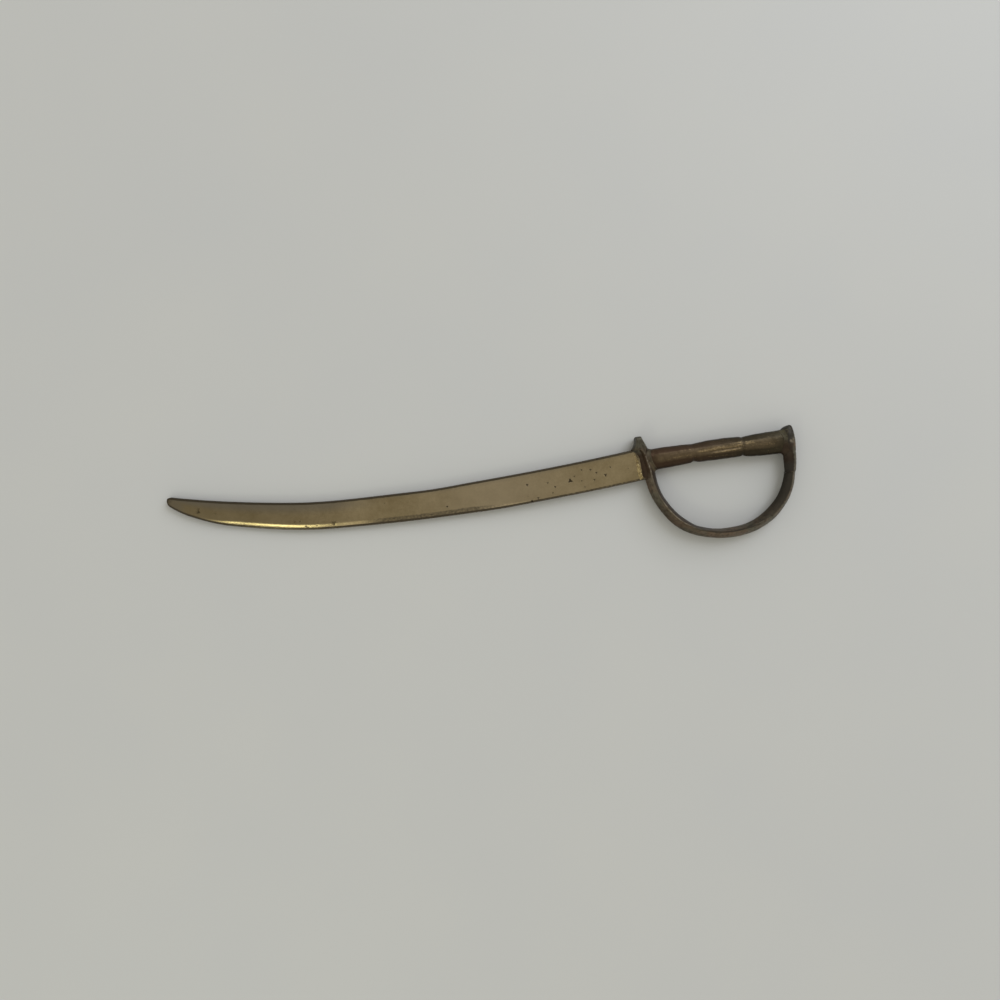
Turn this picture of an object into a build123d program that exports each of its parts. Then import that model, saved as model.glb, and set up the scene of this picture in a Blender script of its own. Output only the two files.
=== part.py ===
from build123d import *
import math
import os

# A brass letter opener shaped like a small sabre, lying flat. Millimetres and degrees.
# X runs from the blade's point to the pommel along the grip's axis, Y toward the blade's spine,
# and Z up from the table. The origin lies on the guard's lower ridge, under the grip's axis.

# Hilt section: two ridges, one up and one down, with sloping sides between
hilt_height = 5.6
ridge_share = 0.18  # flat left along each ridge, as a part of the full thickness

# Guard and knuckle bow
guard_thickness = 4.2
bow_thickness = 3.1  # at the lowest point of the bow
bow_shift = 0.35  # outer outline against the inner one, toward the pommel
loop_radius = 21.6
loop_drop = 4.8  # centre of the finger loop, below the grip's axis
guard_lean = 0.8  # the guard's ridge behind the origin, where the bow begins

# Quillon, the short arm above the blade's spine
quillon_height = 7.9
quillon_tip_width = 2.1
quillon_forward = 1.5  # its tip, ahead of the origin
shoulder_level = 3.4
shoulder_half_width = 1.75
shoulder_ridge = -0.45
flare_reach = 3.7  # foot of the quillon's front flare, ahead of the ridge
flare_rise = 2.6  # up from the blade's spine
flare_hollow = 0.3
front_half_width = 1.3  # ridge to the guard's front, level with the spine

# Pommel
beak_height = 4.8
beak_back = 0.95  # the beak's tip behind the pommel's ridge
beak_root_level = 3.5
pommel_ridge_end = 2.8
joint_drop = 10.6  # joint of bow and pommel, below the grip's axis
pommel_step = 0.4  # pommel's leg inside the bow's outer outline

# Blade
blade_thickness = 2.0
blade_root_width = 10.6
blade_root_centre = -1.1  # below the grip's axis
blade_root_slope = 5.0
near_length = 67.8
middle_length = 40.0
far_length = 32.0
point_length = 18.8  # along the spine, past the far stretch
belly_length = 22.2  # along the edge, past the far stretch
spine_near_radius = 1028.0
spine_middle_radius = 420.0
spine_far_radius = 305.0
edge_near_radius = 786.0
edge_middle_radius = 464.0
edge_far_radius = 216.0
belly_radius = 55.0
edge_flat = 0.8
bevel_width = 1.5
spine_round = 0.4

# Tang, the blade's hidden tail
tang_width = 3.4
tang_thickness = 1.8
tang_clearance = 0.1
tang_reach = 1.8  # into the pommel
tang_overlap = 3.0  # into the blade

# Grip: three barrel-shaped segments, each with its width at the front, belly and rear
front_length = 13.3  # from the guard's rear face
middle_segment_length = 16.5
front_widths = (6.8, 6.5, 5.6)
middle_widths = (5.9, 6.5, 6.0)
rear_widths = (6.0, 6.9, 7.0)
grip_inset = 0.25  # the thickest segment inside the hilt's ridges

# Brazed joints
braze_film = 0.25
bead_step = 0.1  # how proud the bead starts
blade_bead = 0.7
grip_bead = 0.9
bead_inset = 0.05  # bead inside the hilt's ridges

mid_height = hilt_height / 2
thinning = (guard_thickness - bow_thickness) / 2
ridge_radius = loop_radius + guard_thickness / 2
loop_x = guard_lean + ridge_radius
ridge_level = thinning - loop_drop
pommel_ridge_x = loop_x + ridge_radius
pommel_face_x = loop_x - bow_shift / 2 + loop_radius
guard_face_x = loop_x - bow_shift / 2 - loop_radius
root_slope = math.radians(blade_root_slope)
tang_end = pommel_face_x + tang_reach
quillon_tip_level = quillon_height - quillon_tip_width / 2
ridge_tilt = math.atan2(guard_lean + quillon_forward, quillon_tip_level - ridge_level)
grip_flatness = (hilt_height - 2 * grip_inset) / max(front_widths + middle_widths + rear_widths)


# Levels of the hilt's section, with how much of the full thickness each keeps
ridge_stack = ((0, ridge_share), (mid_height, 1), (hilt_height, ridge_share))


def loop_circle(side, share):
    """Centre and radius of the bow's outer (side 1) or inner (side -1) outline."""
    centre = (loop_x + side * share * bow_shift / 2, ridge_level + side * share * thinning)
    return centre, ridge_radius + side * share * guard_thickness / 2


def angle_at(circle, level):
    """Angle where a circle's right half crosses a level."""
    centre, radius = circle
    return math.degrees(math.asin((level - centre[1]) / radius))


def spine_level(x):
    """Level of the blade's spine near its root."""
    return blade_root_centre + blade_root_width / 2 + x * math.tan(root_slope)


def front_point(level, reach):
    """A point ahead of the guard's leaning ridge."""
    return (guard_lean - (level - ridge_level) * math.tan(ridge_tilt) - reach, level)


def guard_outline(height, share):
    """Quillon, cross and bow down to the bow's joint, drawn in toward the ridge."""
    outer_circle = loop_circle(1, share)
    inner_circle = loop_circle(-1, share)
    joint_level = -joint_drop - braze_film / 2
    tip_half = share * quillon_tip_width / 2
    tip_front = (-quillon_forward - tip_half, quillon_tip_level)
    tip_top = (-quillon_forward, quillon_tip_level + tip_half)
    tip_rear = (-quillon_forward + tip_half, quillon_tip_level)
    shoulder = (shoulder_ridge + share * shoulder_half_width, shoulder_level)
    corner = front_point(spine_level(0), share * front_half_width)
    foot = front_point(spine_level(-share * flare_reach), share * flare_reach)
    flare_top = front_point(spine_level(0) + flare_rise, share * quillon_tip_width / 2)
    with BuildSketch(Plane.XY.offset(height)) as outline:
        with BuildLine():
            outer = CenterArc(*outer_circle, -180, 180 + angle_at(outer_circle, joint_level))
            inner = CenterArc(*inner_circle, -180, 180 + angle_at(inner_circle, joint_level))
            Line(outer @ 1, inner @ 1)
            Line(inner @ 0, shoulder)
            Line(shoulder, tip_rear)
            ThreePointArc(tip_rear, tip_top, tip_front)
            Line(tip_front, flare_top)
            SagittaArc(flare_top, foot, share * flare_hollow)
            Line(foot, corner)
            Line(corner, outer @ 0)
        make_face()
    return outline.sketch


def pommel_outline(height, share):
    """Upper leg of the bow, above its joint, and the beak, drawn in toward the ridge."""
    bow_centre, bow_radius = loop_circle(1, share)
    outer_circle = (bow_centre, bow_radius - share * pommel_step)
    inner_circle = loop_circle(-1, share)
    joint_level = -joint_drop + braze_film / 2
    outer_start = angle_at(outer_circle, joint_level)
    inner_start = angle_at(inner_circle, joint_level)
    beak_rise = beak_height - pommel_ridge_end
    root_rise = beak_root_level - pommel_ridge_end
    beak = (pommel_ridge_x + share * beak_back, pommel_ridge_end + share * beak_rise)
    root = (pommel_ridge_x - share * guard_thickness / 2, pommel_ridge_end + share * root_rise)
    with BuildSketch(Plane.XY.offset(height)) as outline:
        with BuildLine():
            outer = CenterArc(*outer_circle, outer_start, -outer_start)
            inner = CenterArc(*inner_circle, inner_start, -inner_start)
            TangentArc(outer @ 1, beak, tangent=(0, 1))
            Line(beak, root)
            Line(root, inner @ 1)
            Line(inner @ 0, outer @ 0)
        make_face()
    return outline.sketch


def film_outline(height, share):
    """The thin layer of braze between bow and pommel."""
    outer_circle = loop_circle(1, share)
    inner_circle = loop_circle(-1, share)
    low = -joint_drop - braze_film / 2
    high = -joint_drop + braze_film / 2
    outer_low = angle_at(outer_circle, low)
    inner_low = angle_at(inner_circle, low)
    with BuildSketch(Plane.XY.offset(height)) as outline:
        with BuildLine():
            outer = CenterArc(*outer_circle, outer_low, angle_at(outer_circle, high) - outer_low)
            inner = CenterArc(*inner_circle, inner_low, angle_at(inner_circle, high) - inner_low)
            Line(outer @ 0, inner @ 0)
            Line(outer @ 1, inner @ 1)
        make_face()
    return outline.sketch


def blade_outline(height, spine_in, edge_in):
    """The blade seen flat on, its spine and edge moved in by the given amounts."""
    heading = (-math.cos(root_slope), -math.sin(root_slope))
    spine_root = (0, blade_root_centre + blade_root_width / 2 - spine_in)
    edge_root = (0, blade_root_centre - blade_root_width / 2 + edge_in)
    spine_stretches = (
        (near_length, spine_near_radius),
        (middle_length, spine_middle_radius),
        (far_length + point_length, spine_far_radius),
    )
    edge_stretches = (
        (near_length, edge_near_radius),
        (middle_length, edge_middle_radius),
        (far_length, edge_far_radius),
        (belly_length, belly_radius),
    )
    chains = ((spine_root, spine_stretches, spine_in), (edge_root, edge_stretches, -edge_in))
    with BuildSketch(Plane.XY.offset(height)) as outline:
        with BuildLine():
            last_arcs = []
            for start, stretches, radius_change in chains:
                direction = heading
                for length, radius in stretches:
                    sweep = -math.degrees(length / radius)
                    arc = JernArc(start, direction, radius + radius_change, sweep)
                    start, direction = arc @ 1, arc % 1
                last_arcs.append(arc)
            spine_end, belly = last_arcs
            TangentArc(belly @ 1, spine_end @ 1, tangent=belly % 1)
            Line(edge_root, spine_root)
        make_face()
    return outline.sketch


def across(x):
    """Plane across the grip's axis, with its own X along the part's Y."""
    return Plane((x, 0, mid_height), x_dir=(0, 1, 0), z_dir=(1, 0, 0))


def tang_section(x, clearance):
    """The tang's section with a clearance round it."""
    with BuildSketch(across(x)) as section:
        Rectangle(tang_width + 2 * clearance, tang_thickness + 2 * clearance)
    return section.sketch


def grip_section(x, width):
    """Oval section of the grip."""
    with BuildSketch(across(x)) as section:
        Ellipse(width / 2, width * grip_flatness / 2)
    return section.sketch


def along_ridge(offset):
    """Upright plane along the guard's leaning ridge, moved back by an offset."""
    normal = (math.cos(ridge_tilt), math.sin(ridge_tilt), 0)
    upward = (-math.sin(ridge_tilt), math.cos(ridge_tilt), 0)
    return Plane((guard_lean, ridge_level, mid_height), x_dir=upward, z_dir=normal).offset(offset)


def bead_oval(plane, centre, width, upper_growth, lower_growth, depth_growth):
    """Section of a bead round the grip, with its own growth above, below and in depth."""
    half_width = (width + upper_growth + lower_growth) / 2
    half_depth = width * grip_flatness / 2 + depth_growth
    with BuildSketch(plane) as section:
        with Locations((centre + (upper_growth - lower_growth) / 2, 0)):
            Ellipse(half_width, half_depth)
    return section.sketch


def bead_rectangle(offset, growth):
    """Section of the bead round the blade's root, on a plane along the guard's ridge."""
    top = (spine_level(offset) - ridge_level) / math.cos(ridge_tilt)
    with BuildSketch(along_ridge(offset)) as section:
        with Locations((top, 0)):
            Rectangle(
                blade_root_width + growth, blade_thickness + 2 * growth, align=(Align.MAX, Align.CENTER)
            )
    return section.sketch


# Hilt castings before they are slotted, which shape what seats on them
with BuildPart() as guard_blank:
    loft([guard_outline(*place) for place in ridge_stack], ruled=True)

with BuildPart() as pommel_blank:
    loft([pommel_outline(*place) for place in ridge_stack], ruled=True)

blade_stack = (
    (mid_height - blade_thickness / 2, spine_round, bevel_width),
    (mid_height - edge_flat / 2, 0, 0),
    (mid_height + edge_flat / 2, 0, 0),
    (mid_height + blade_thickness / 2, spine_round, bevel_width),
)
with BuildPart() as blade:
    tang_start = -guard_face_x - tang_overlap
    loft([blade_outline(*place) for place in blade_stack], ruled=True)
    add(guard_blank.part, mode=Mode.SUBTRACT)
    extrude(tang_section(tang_start, 0), amount=tang_end - tang_start)

with BuildPart() as knuckle_guard:
    slot_start = -guard_thickness
    slot_length = guard_face_x + 2 * guard_thickness
    add(guard_blank.part)
    extrude(tang_section(slot_start, tang_clearance), amount=slot_length, mode=Mode.SUBTRACT)

with BuildPart() as pommel:
    socket_length = tang_end + tang_clearance - loop_x
    add(pommel_blank.part)
    extrude(tang_section(loop_x, tang_clearance), amount=socket_length, mode=Mode.SUBTRACT)

first_notch = guard_face_x + front_length
second_notch = first_notch + middle_segment_length
segments = (
    (0, first_notch, front_widths),
    (first_notch, second_notch, middle_widths),
    (second_notch, pommel_ridge_x, rear_widths),
)
with BuildPart() as grip_blank:
    for start, end, widths in segments:
        places = (start, (start + end) / 2, end)
        loft([grip_section(x, width) for x, width in zip(places, widths)])
    add(guard_blank.part, mode=Mode.SUBTRACT)
    add(pommel_blank.part, mode=Mode.SUBTRACT)

with BuildPart() as grip:
    add(grip_blank.part)
    extrude(tang_section(0, tang_clearance), amount=pommel_ridge_x, mode=Mode.SUBTRACT)

# Beads of braze, each filling a corner between two seated pieces
with BuildPart() as blade_braze:
    thin_end = bead_rectangle(-guard_thickness / 2 - blade_bead, bead_step)
    thick_end = bead_rectangle(0, bead_step + blade_bead)
    loft([thin_end, thick_end], ruled=True)
    add(blade.part, mode=Mode.SUBTRACT)
    add(guard_blank.part, mode=Mode.SUBTRACT)

bead_depth = grip_inset - bead_inset
with BuildPart() as grip_front_braze:
    axis_on_ridge = -ridge_level / math.cos(ridge_tilt)
    full_growth = bead_step + grip_bead
    thin_plane = across(guard_face_x + grip_bead)
    thin_end = bead_oval(thin_plane, 0, front_widths[0], bead_step, bead_step, bead_step)
    thick_end = bead_oval(
        along_ridge(0), axis_on_ridge, front_widths[0], full_growth, full_growth, bead_depth
    )
    loft([thin_end, thick_end], ruled=True)
    add(grip_blank.part, mode=Mode.SUBTRACT)
    add(guard_blank.part, mode=Mode.SUBTRACT)

with BuildPart() as grip_rear_braze:
    thin_plane = across(pommel_face_x - grip_bead)
    thick_plane = across(pommel_ridge_x)
    thin_end = bead_oval(thin_plane, 0, rear_widths[2], bead_step, bead_step, bead_step)
    thick_end = bead_oval(thick_plane, 0, rear_widths[2], bead_step, bead_step + grip_bead, bead_depth)
    loft([thin_end, thick_end], ruled=True)
    add(grip_blank.part, mode=Mode.SUBTRACT)
    add(pommel_blank.part, mode=Mode.SUBTRACT)

with BuildPart() as bow_braze:
    loft([film_outline(*place) for place in ridge_stack], ruled=True)

pieces = {
    "blade": blade,
    "knuckle_guard": knuckle_guard,
    "grip": grip,
    "pommel": pommel,
    "blade_braze": blade_braze,
    "grip_front_braze": grip_front_braze,
    "grip_rear_braze": grip_rear_braze,
    "bow_braze": bow_braze,
}
os.makedirs("parts", exist_ok=True)
for name, piece in pieces.items():
    piece.part.label = name
    export_step(piece.part, f"parts/{name}.step")
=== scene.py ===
import logging
import math
from dataclasses import dataclass, field
from enum import Enum

import bpy
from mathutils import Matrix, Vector, noise


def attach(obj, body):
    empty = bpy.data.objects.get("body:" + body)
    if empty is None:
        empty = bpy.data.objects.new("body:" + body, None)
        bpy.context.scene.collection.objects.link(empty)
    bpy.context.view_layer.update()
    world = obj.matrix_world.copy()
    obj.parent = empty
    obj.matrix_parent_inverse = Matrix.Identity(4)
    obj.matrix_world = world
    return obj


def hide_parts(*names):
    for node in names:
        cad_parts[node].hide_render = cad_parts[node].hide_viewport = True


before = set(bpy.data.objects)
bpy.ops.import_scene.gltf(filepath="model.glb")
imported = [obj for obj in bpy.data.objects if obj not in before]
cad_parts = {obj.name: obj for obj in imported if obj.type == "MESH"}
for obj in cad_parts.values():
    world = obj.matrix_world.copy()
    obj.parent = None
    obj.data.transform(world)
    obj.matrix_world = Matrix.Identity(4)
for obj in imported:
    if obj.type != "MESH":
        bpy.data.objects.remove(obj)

LOG = logging.getLogger("letter_opener")

# Sizes are millimetres in the part's own frame: X from point to pommel, Y toward the spine, Z up
MM = 0.001
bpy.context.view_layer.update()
BODY = "root"

# Roundness of a cast member's flanks, which are nearly flat
FLANK_ROUNDNESS = 1.3

# Signs of a rectangle's corners, in order round it
CORNERS = ((-1, -1), (1, -1), (1, 1), (-1, 1))

# Short names for kinds that recur
Tree = bpy.types.NodeTree
Socket = bpy.types.NodeSocket
Material = bpy.types.Material
Mesh = bpy.types.Mesh
Piece = bpy.types.Object
Span = tuple[float, float]
Place = tuple[float, float]
Halves = tuple[tuple[float, float, float], ...]
UNIT: Span = (0.0, 1.0)


class Slot(Enum):
    """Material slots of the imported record."""

    BLADE = "blade_brass"
    HILT = "hilt_brass"
    BRAZE = "braze"


class Edge(Enum):
    """The two long outlines of the blade."""

    SPINE = "spine"
    CUTTING = "cutting"


class GripEnd(Enum):
    """The two ends of the grip."""

    FRONT = "front"
    REAR = "rear"


def linear(colour: str) -> tuple[float, float, float, float]:
    """Turn an sRGB hex colour into linear light.

    Args:
        colour: Six hex digits after a hash.

    Returns:
        Red, green, blue and a full alpha.
    """
    channels = []
    for start in (1, 3, 5):
        value = int(colour[start:start + 2], 16) / 255
        channels.append(value / 12.92 if value <= 0.04045 else ((value + 0.055) / 1.055) ** 2.4)
    return (*channels, 1.0)


def add_node(tree: Tree, kind: str, feeds: dict | None = None, **settings: str) -> Socket | None:
    """Add one node with its settings and links.

    Args:
        tree: Tree that takes the node.
        kind: Blender's name of the node.
        feeds: Input name or number to a value or to the socket that feeds it.
        **settings: Properties set on the node before its inputs.

    Returns:
        The node's first open output, or None where it has none.
    """
    node = tree.nodes.new(kind)
    for name, value in settings.items():
        setattr(node, name, value)
    for name, feed in (feeds or {}).items():
        if isinstance(name, int):
            socket = node.inputs[name]
        else:
            socket = next(item for item in node.inputs if item.enabled and item.name == name)
        if isinstance(feed, Socket):
            tree.links.new(feed, socket)
        else:
            socket.default_value = feed
    return next((item for item in node.outputs if item.enabled), None)


def calc(tree: Tree, operation: str, *values: Socket | float) -> Socket:
    """Number worked out from others."""
    return add_node(tree, "ShaderNodeMath", dict(enumerate(values)), operation=operation)


def ramp(tree: Tree, value: Socket, span: Span | tuple[Socket, Socket] = UNIT,
         start: Socket | float = 0.0, end: Socket | float = 1.0) -> Socket:
    """Number that runs from a start to an end, and no further, while a value crosses a span."""
    return add_node(tree, "ShaderNodeMapRange", {
        "Value": value, "From Min": span[0], "From Max": span[1], "To Min": start, "To Max": end,
    })


def scaled(tree: Tree, vector: Socket, share: Socket | float) -> Socket:
    """Vector times a number."""
    return add_node(tree, "ShaderNodeVectorMath", {0: vector, "Scale": share}, operation="SCALE")


def mix(tree: Tree, share: Socket, first: Socket | str, second: Socket | str) -> Socket:
    """Mixture of two colours, each a socket or an sRGB hex colour."""
    first, second = (linear(item) if isinstance(item, str) else item for item in (first, second))
    return add_node(tree, "ShaderNodeMix", {"Factor": share, "A": first, "B": second}, data_type="RGBA")


def object_place(tree: Tree) -> Socket:
    """Place in the part's own frame, in metres."""
    return add_node(tree, "ShaderNodeTexCoord").node.outputs["Object"]


def read_mark(tree: Tree, name: str) -> Socket:
    """Number that a piece carries on its vertices."""
    return add_node(tree, "ShaderNodeAttribute", attribute_name=name).node.outputs["Fac"]


def lumps(tree: Tree, place: Socket, width: float, detail: float = 3.0, roughness: float = 0.5) -> Socket:
    """Noise whose lumps have about one width, in millimetres."""
    return add_node(tree, "ShaderNodeTexNoise", {
        "Vector": place, "Scale": 1 / (width * MM), "Detail": detail, "Roughness": roughness,
    })


def streaks(tree: Tree, place: Socket, length: float, width: float) -> Socket:
    """Noise that is drawn out along the first axis.

    Args:
        tree: Tree that takes the nodes.
        place: Place to take the noise at.
        length: Length of a streak, in millimetres.
        width: Width of a streak, in millimetres.

    Returns:
        The noise.
    """
    stretch = (1 / (length * MM),) + 2 * (1 / (width * MM),)
    drawn = add_node(tree, "ShaderNodeMapping", {"Vector": place, "Scale": stretch}, vector_type="POINT")
    return add_node(tree, "ShaderNodeTexNoise", {"Vector": drawn, "Scale": 1.0, "Detail": 3.0})


def bump(tree: Tree, height: Socket, strength: float, depth: float) -> Socket:
    """Normal that follows a height, its depth in millimetres."""
    return add_node(tree, "ShaderNodeBump", {
        "Strength": strength, "Distance": depth * MM, "Height": height,
    })


def add_shader(tree: Tree, feeds: dict) -> None:
    """End a finish in one shader."""
    shader = add_node(tree, "ShaderNodeBsdfPrincipled", feeds)
    add_node(tree, "ShaderNodeOutputMaterial", {"Surface": shader})


def new_material(name: str) -> Material:
    """Make an empty material that uses nodes.

    Args:
        name: Plain name of the finish.

    Returns:
        The material, its tree cleared.
    """
    material = bpy.data.materials.new(name)
    material.use_nodes = True
    material.node_tree.nodes.clear()
    return material


def new_tree(name: str, inputs: dict[str, str], output: str) -> Tree:
    """Make an empty Geometry Nodes tree.

    Args:
        name: Plain name of what it makes.
        inputs: Kind of value by the name of each input.
        output: Name of the geometry that it gives.

    Returns:
        The tree, with its inputs and its output.
    """
    tree = bpy.data.node_groups.new(name, "GeometryNodeTree")
    for label, kind in inputs.items():
        tree.interface.new_socket(label, in_out="INPUT", socket_type=f"NodeSocket{kind}")
    tree.interface.new_socket(output, in_out="OUTPUT", socket_type="NodeSocketGeometry")
    return tree


def end_tree(tree: Tree, result: Socket, finish: Socket, output: str) -> None:
    """Make what a tree gives real and set its finish.

    Args:
        tree: Tree to end.
        result: Geometry that it has made.
        finish: Material to set.
        output: Name of the tree's output.
    """
    result = add_node(tree, "GeometryNodeRealizeInstances", {"Geometry": result})
    result = add_node(tree, "GeometryNodeSetMaterial", {"Geometry": result, "Material": finish})
    add_node(tree, "NodeGroupOutput", {output: result})


def blend(start: float, end: float, share: float) -> float:
    """Value a share of the way from start to end."""
    return start + (end - start) * share


def ease(low: float, high: float, value: float) -> float:
    """Smooth step of a value from 0 at low to 1 at high."""
    share = min(1.0, max(0.0, (value - low) / (high - low)))
    return share * share * (3 - 2 * share)


def round_over(share: float, power: float = 3.0) -> float:
    """What is left of a half width, a share of the way to an end that is rounded over."""
    return max(0.0, 1 - share ** power) ** (1 / power)


@dataclass(frozen=True)
class Fade:
    """An amount that eases over from one value to another.

    Attributes:
        low: Where it leaves the first value.
        high: Where it reaches the second.
        first: Value before.
        second: Value after.
    """

    low: float
    high: float
    first: float = 0.0
    second: float = 1.0

    def at(self, place: float) -> float:
        """Amount at a place."""
        return blend(self.first, self.second, ease(self.low, self.high, place))


@dataclass(frozen=True)
class Swell:
    """An amount that swells up at one place and dies away to both sides.

    Attributes:
        middle: Where it is greatest.
        spread: How far it reaches to each side.
        amount: How much it is at most.
    """

    middle: float
    spread: float
    amount: float

    def at(self, place: float) -> float:
        """Amount at a place."""
        return self.amount * math.exp(-(((place - self.middle) / self.spread) ** 2))


def add_piece(name: str, mesh: Mesh, material: Material, node: str | None = None) -> Piece:
    """Place a finished mesh in the frame, where it may stand for a node of the part.

    Args:
        name: Name of the piece.
        mesh: Its mesh, in metres.
        material: Its finish.
        node: Node that the piece stands for, if any.

    Returns:
        The new object.
    """
    mesh.name = name
    face_outward(mesh)
    mesh.materials.clear()
    mesh.materials.append(material)
    piece = bpy.data.objects.new(name, mesh)
    bpy.context.collection.objects.link(piece)
    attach(piece, BODY)
    if node:
        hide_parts(node)
    return piece


def face_outward(mesh: Mesh) -> None:
    """Turn a closed mesh's faces outward and shade them smooth.

    Args:
        mesh: Closed mesh.
    """
    mesh.calc_loop_triangles()
    volume = 0.0
    for triangle in mesh.loop_triangles:
        first, second, third = (mesh.vertices[index].co for index in triangle.vertices)
        volume += first.dot(second.cross(third))
    if volume < 0:
        mesh.flip_normals()
    mesh.shade_smooth()


def skin_rings(groups: list[list[list[Vector]]], looped: bool = False) -> Mesh:
    """Skin groups of closed rings, in order.

    Args:
        groups: Each a list of rings of equal length, in millimetres.
        looped: Join the last ring to the first, instead of closing both ends.

    Returns:
        A closed mesh in metres.
    """
    points: list[Vector] = []
    faces: list[tuple[int, ...]] = []
    for rings in groups:
        first = len(points)
        count = len(rings[0])
        points.extend(point * MM for ring in rings for point in ring)
        for row in range(len(rings) if looped else len(rings) - 1):
            low = first + row * count
            high = first + (row + 1) % len(rings) * count
            for place in range(count):
                after = (place + 1) % count
                faces.append((low + place, low + after, high + after, high + place))
        for row in () if looped else (0, len(rings) - 1):
            points.append(sum(rings[row], Vector()) / count * MM)
            for place in range(count):
                after = (place + 1) % count
                corners = (first + row * count + place, first + row * count + after, len(points) - 1)
                faces.append(corners if row else corners[::-1])
    mesh = bpy.data.meshes.new("skin")
    mesh.from_pydata(points, [], faces)
    mesh.validate()
    mesh.update()
    return mesh


@dataclass(frozen=True)
class Hollows:
    """Small uneven hollows in a cast skin.

    Attributes:
        depth: Depth of the deepest, in millimetres.
        width: Width of one, in millimetres.
        seed: Place in the noise that they take.
        level: Height of the noise above which the skin is left alone.
        steepness: Share of the depth for each unit of noise below that.
        fine_share: How much finer noise is added.
        fine_rate: How much finer it is.
    """

    depth: float
    width: float
    seed: float
    level: float = 0.6
    steepness: float = 0.5
    fine_share: float = 0.4
    fine_rate: float = 2.7

    def press(self, mesh: Mesh) -> None:
        """Press the hollows into a mesh, never outward.

        Args:
            mesh: Mesh to change.
        """
        shift = Vector((self.seed, 2 * self.seed, 3 * self.seed))
        drop = self.steepness * self.depth * MM
        moves = []
        for vertex in mesh.vertices:
            place = vertex.co / (self.width * MM) + shift
            wave = noise.noise(place) + self.fine_share * noise.noise(place * self.fine_rate)
            moves.append(vertex.normal * (min(0.0, wave - self.level) * drop))
        for vertex, move in zip(mesh.vertices, moves):
            vertex.co += move
        mesh.update()


def mark(mesh: Mesh, name: str, values: list[float]) -> None:
    """Write a number on each vertex for a finish to read.

    Args:
        mesh: Mesh to mark.
        name: Name that the finish reads.
        values: Numbers in the vertices' order, where any that are left out are zero.
    """
    layer = mesh.attributes.new(name, "FLOAT", "POINT")
    layer.data.foreach_set("value", values + [0.0] * (len(mesh.vertices) - len(values)))


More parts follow.
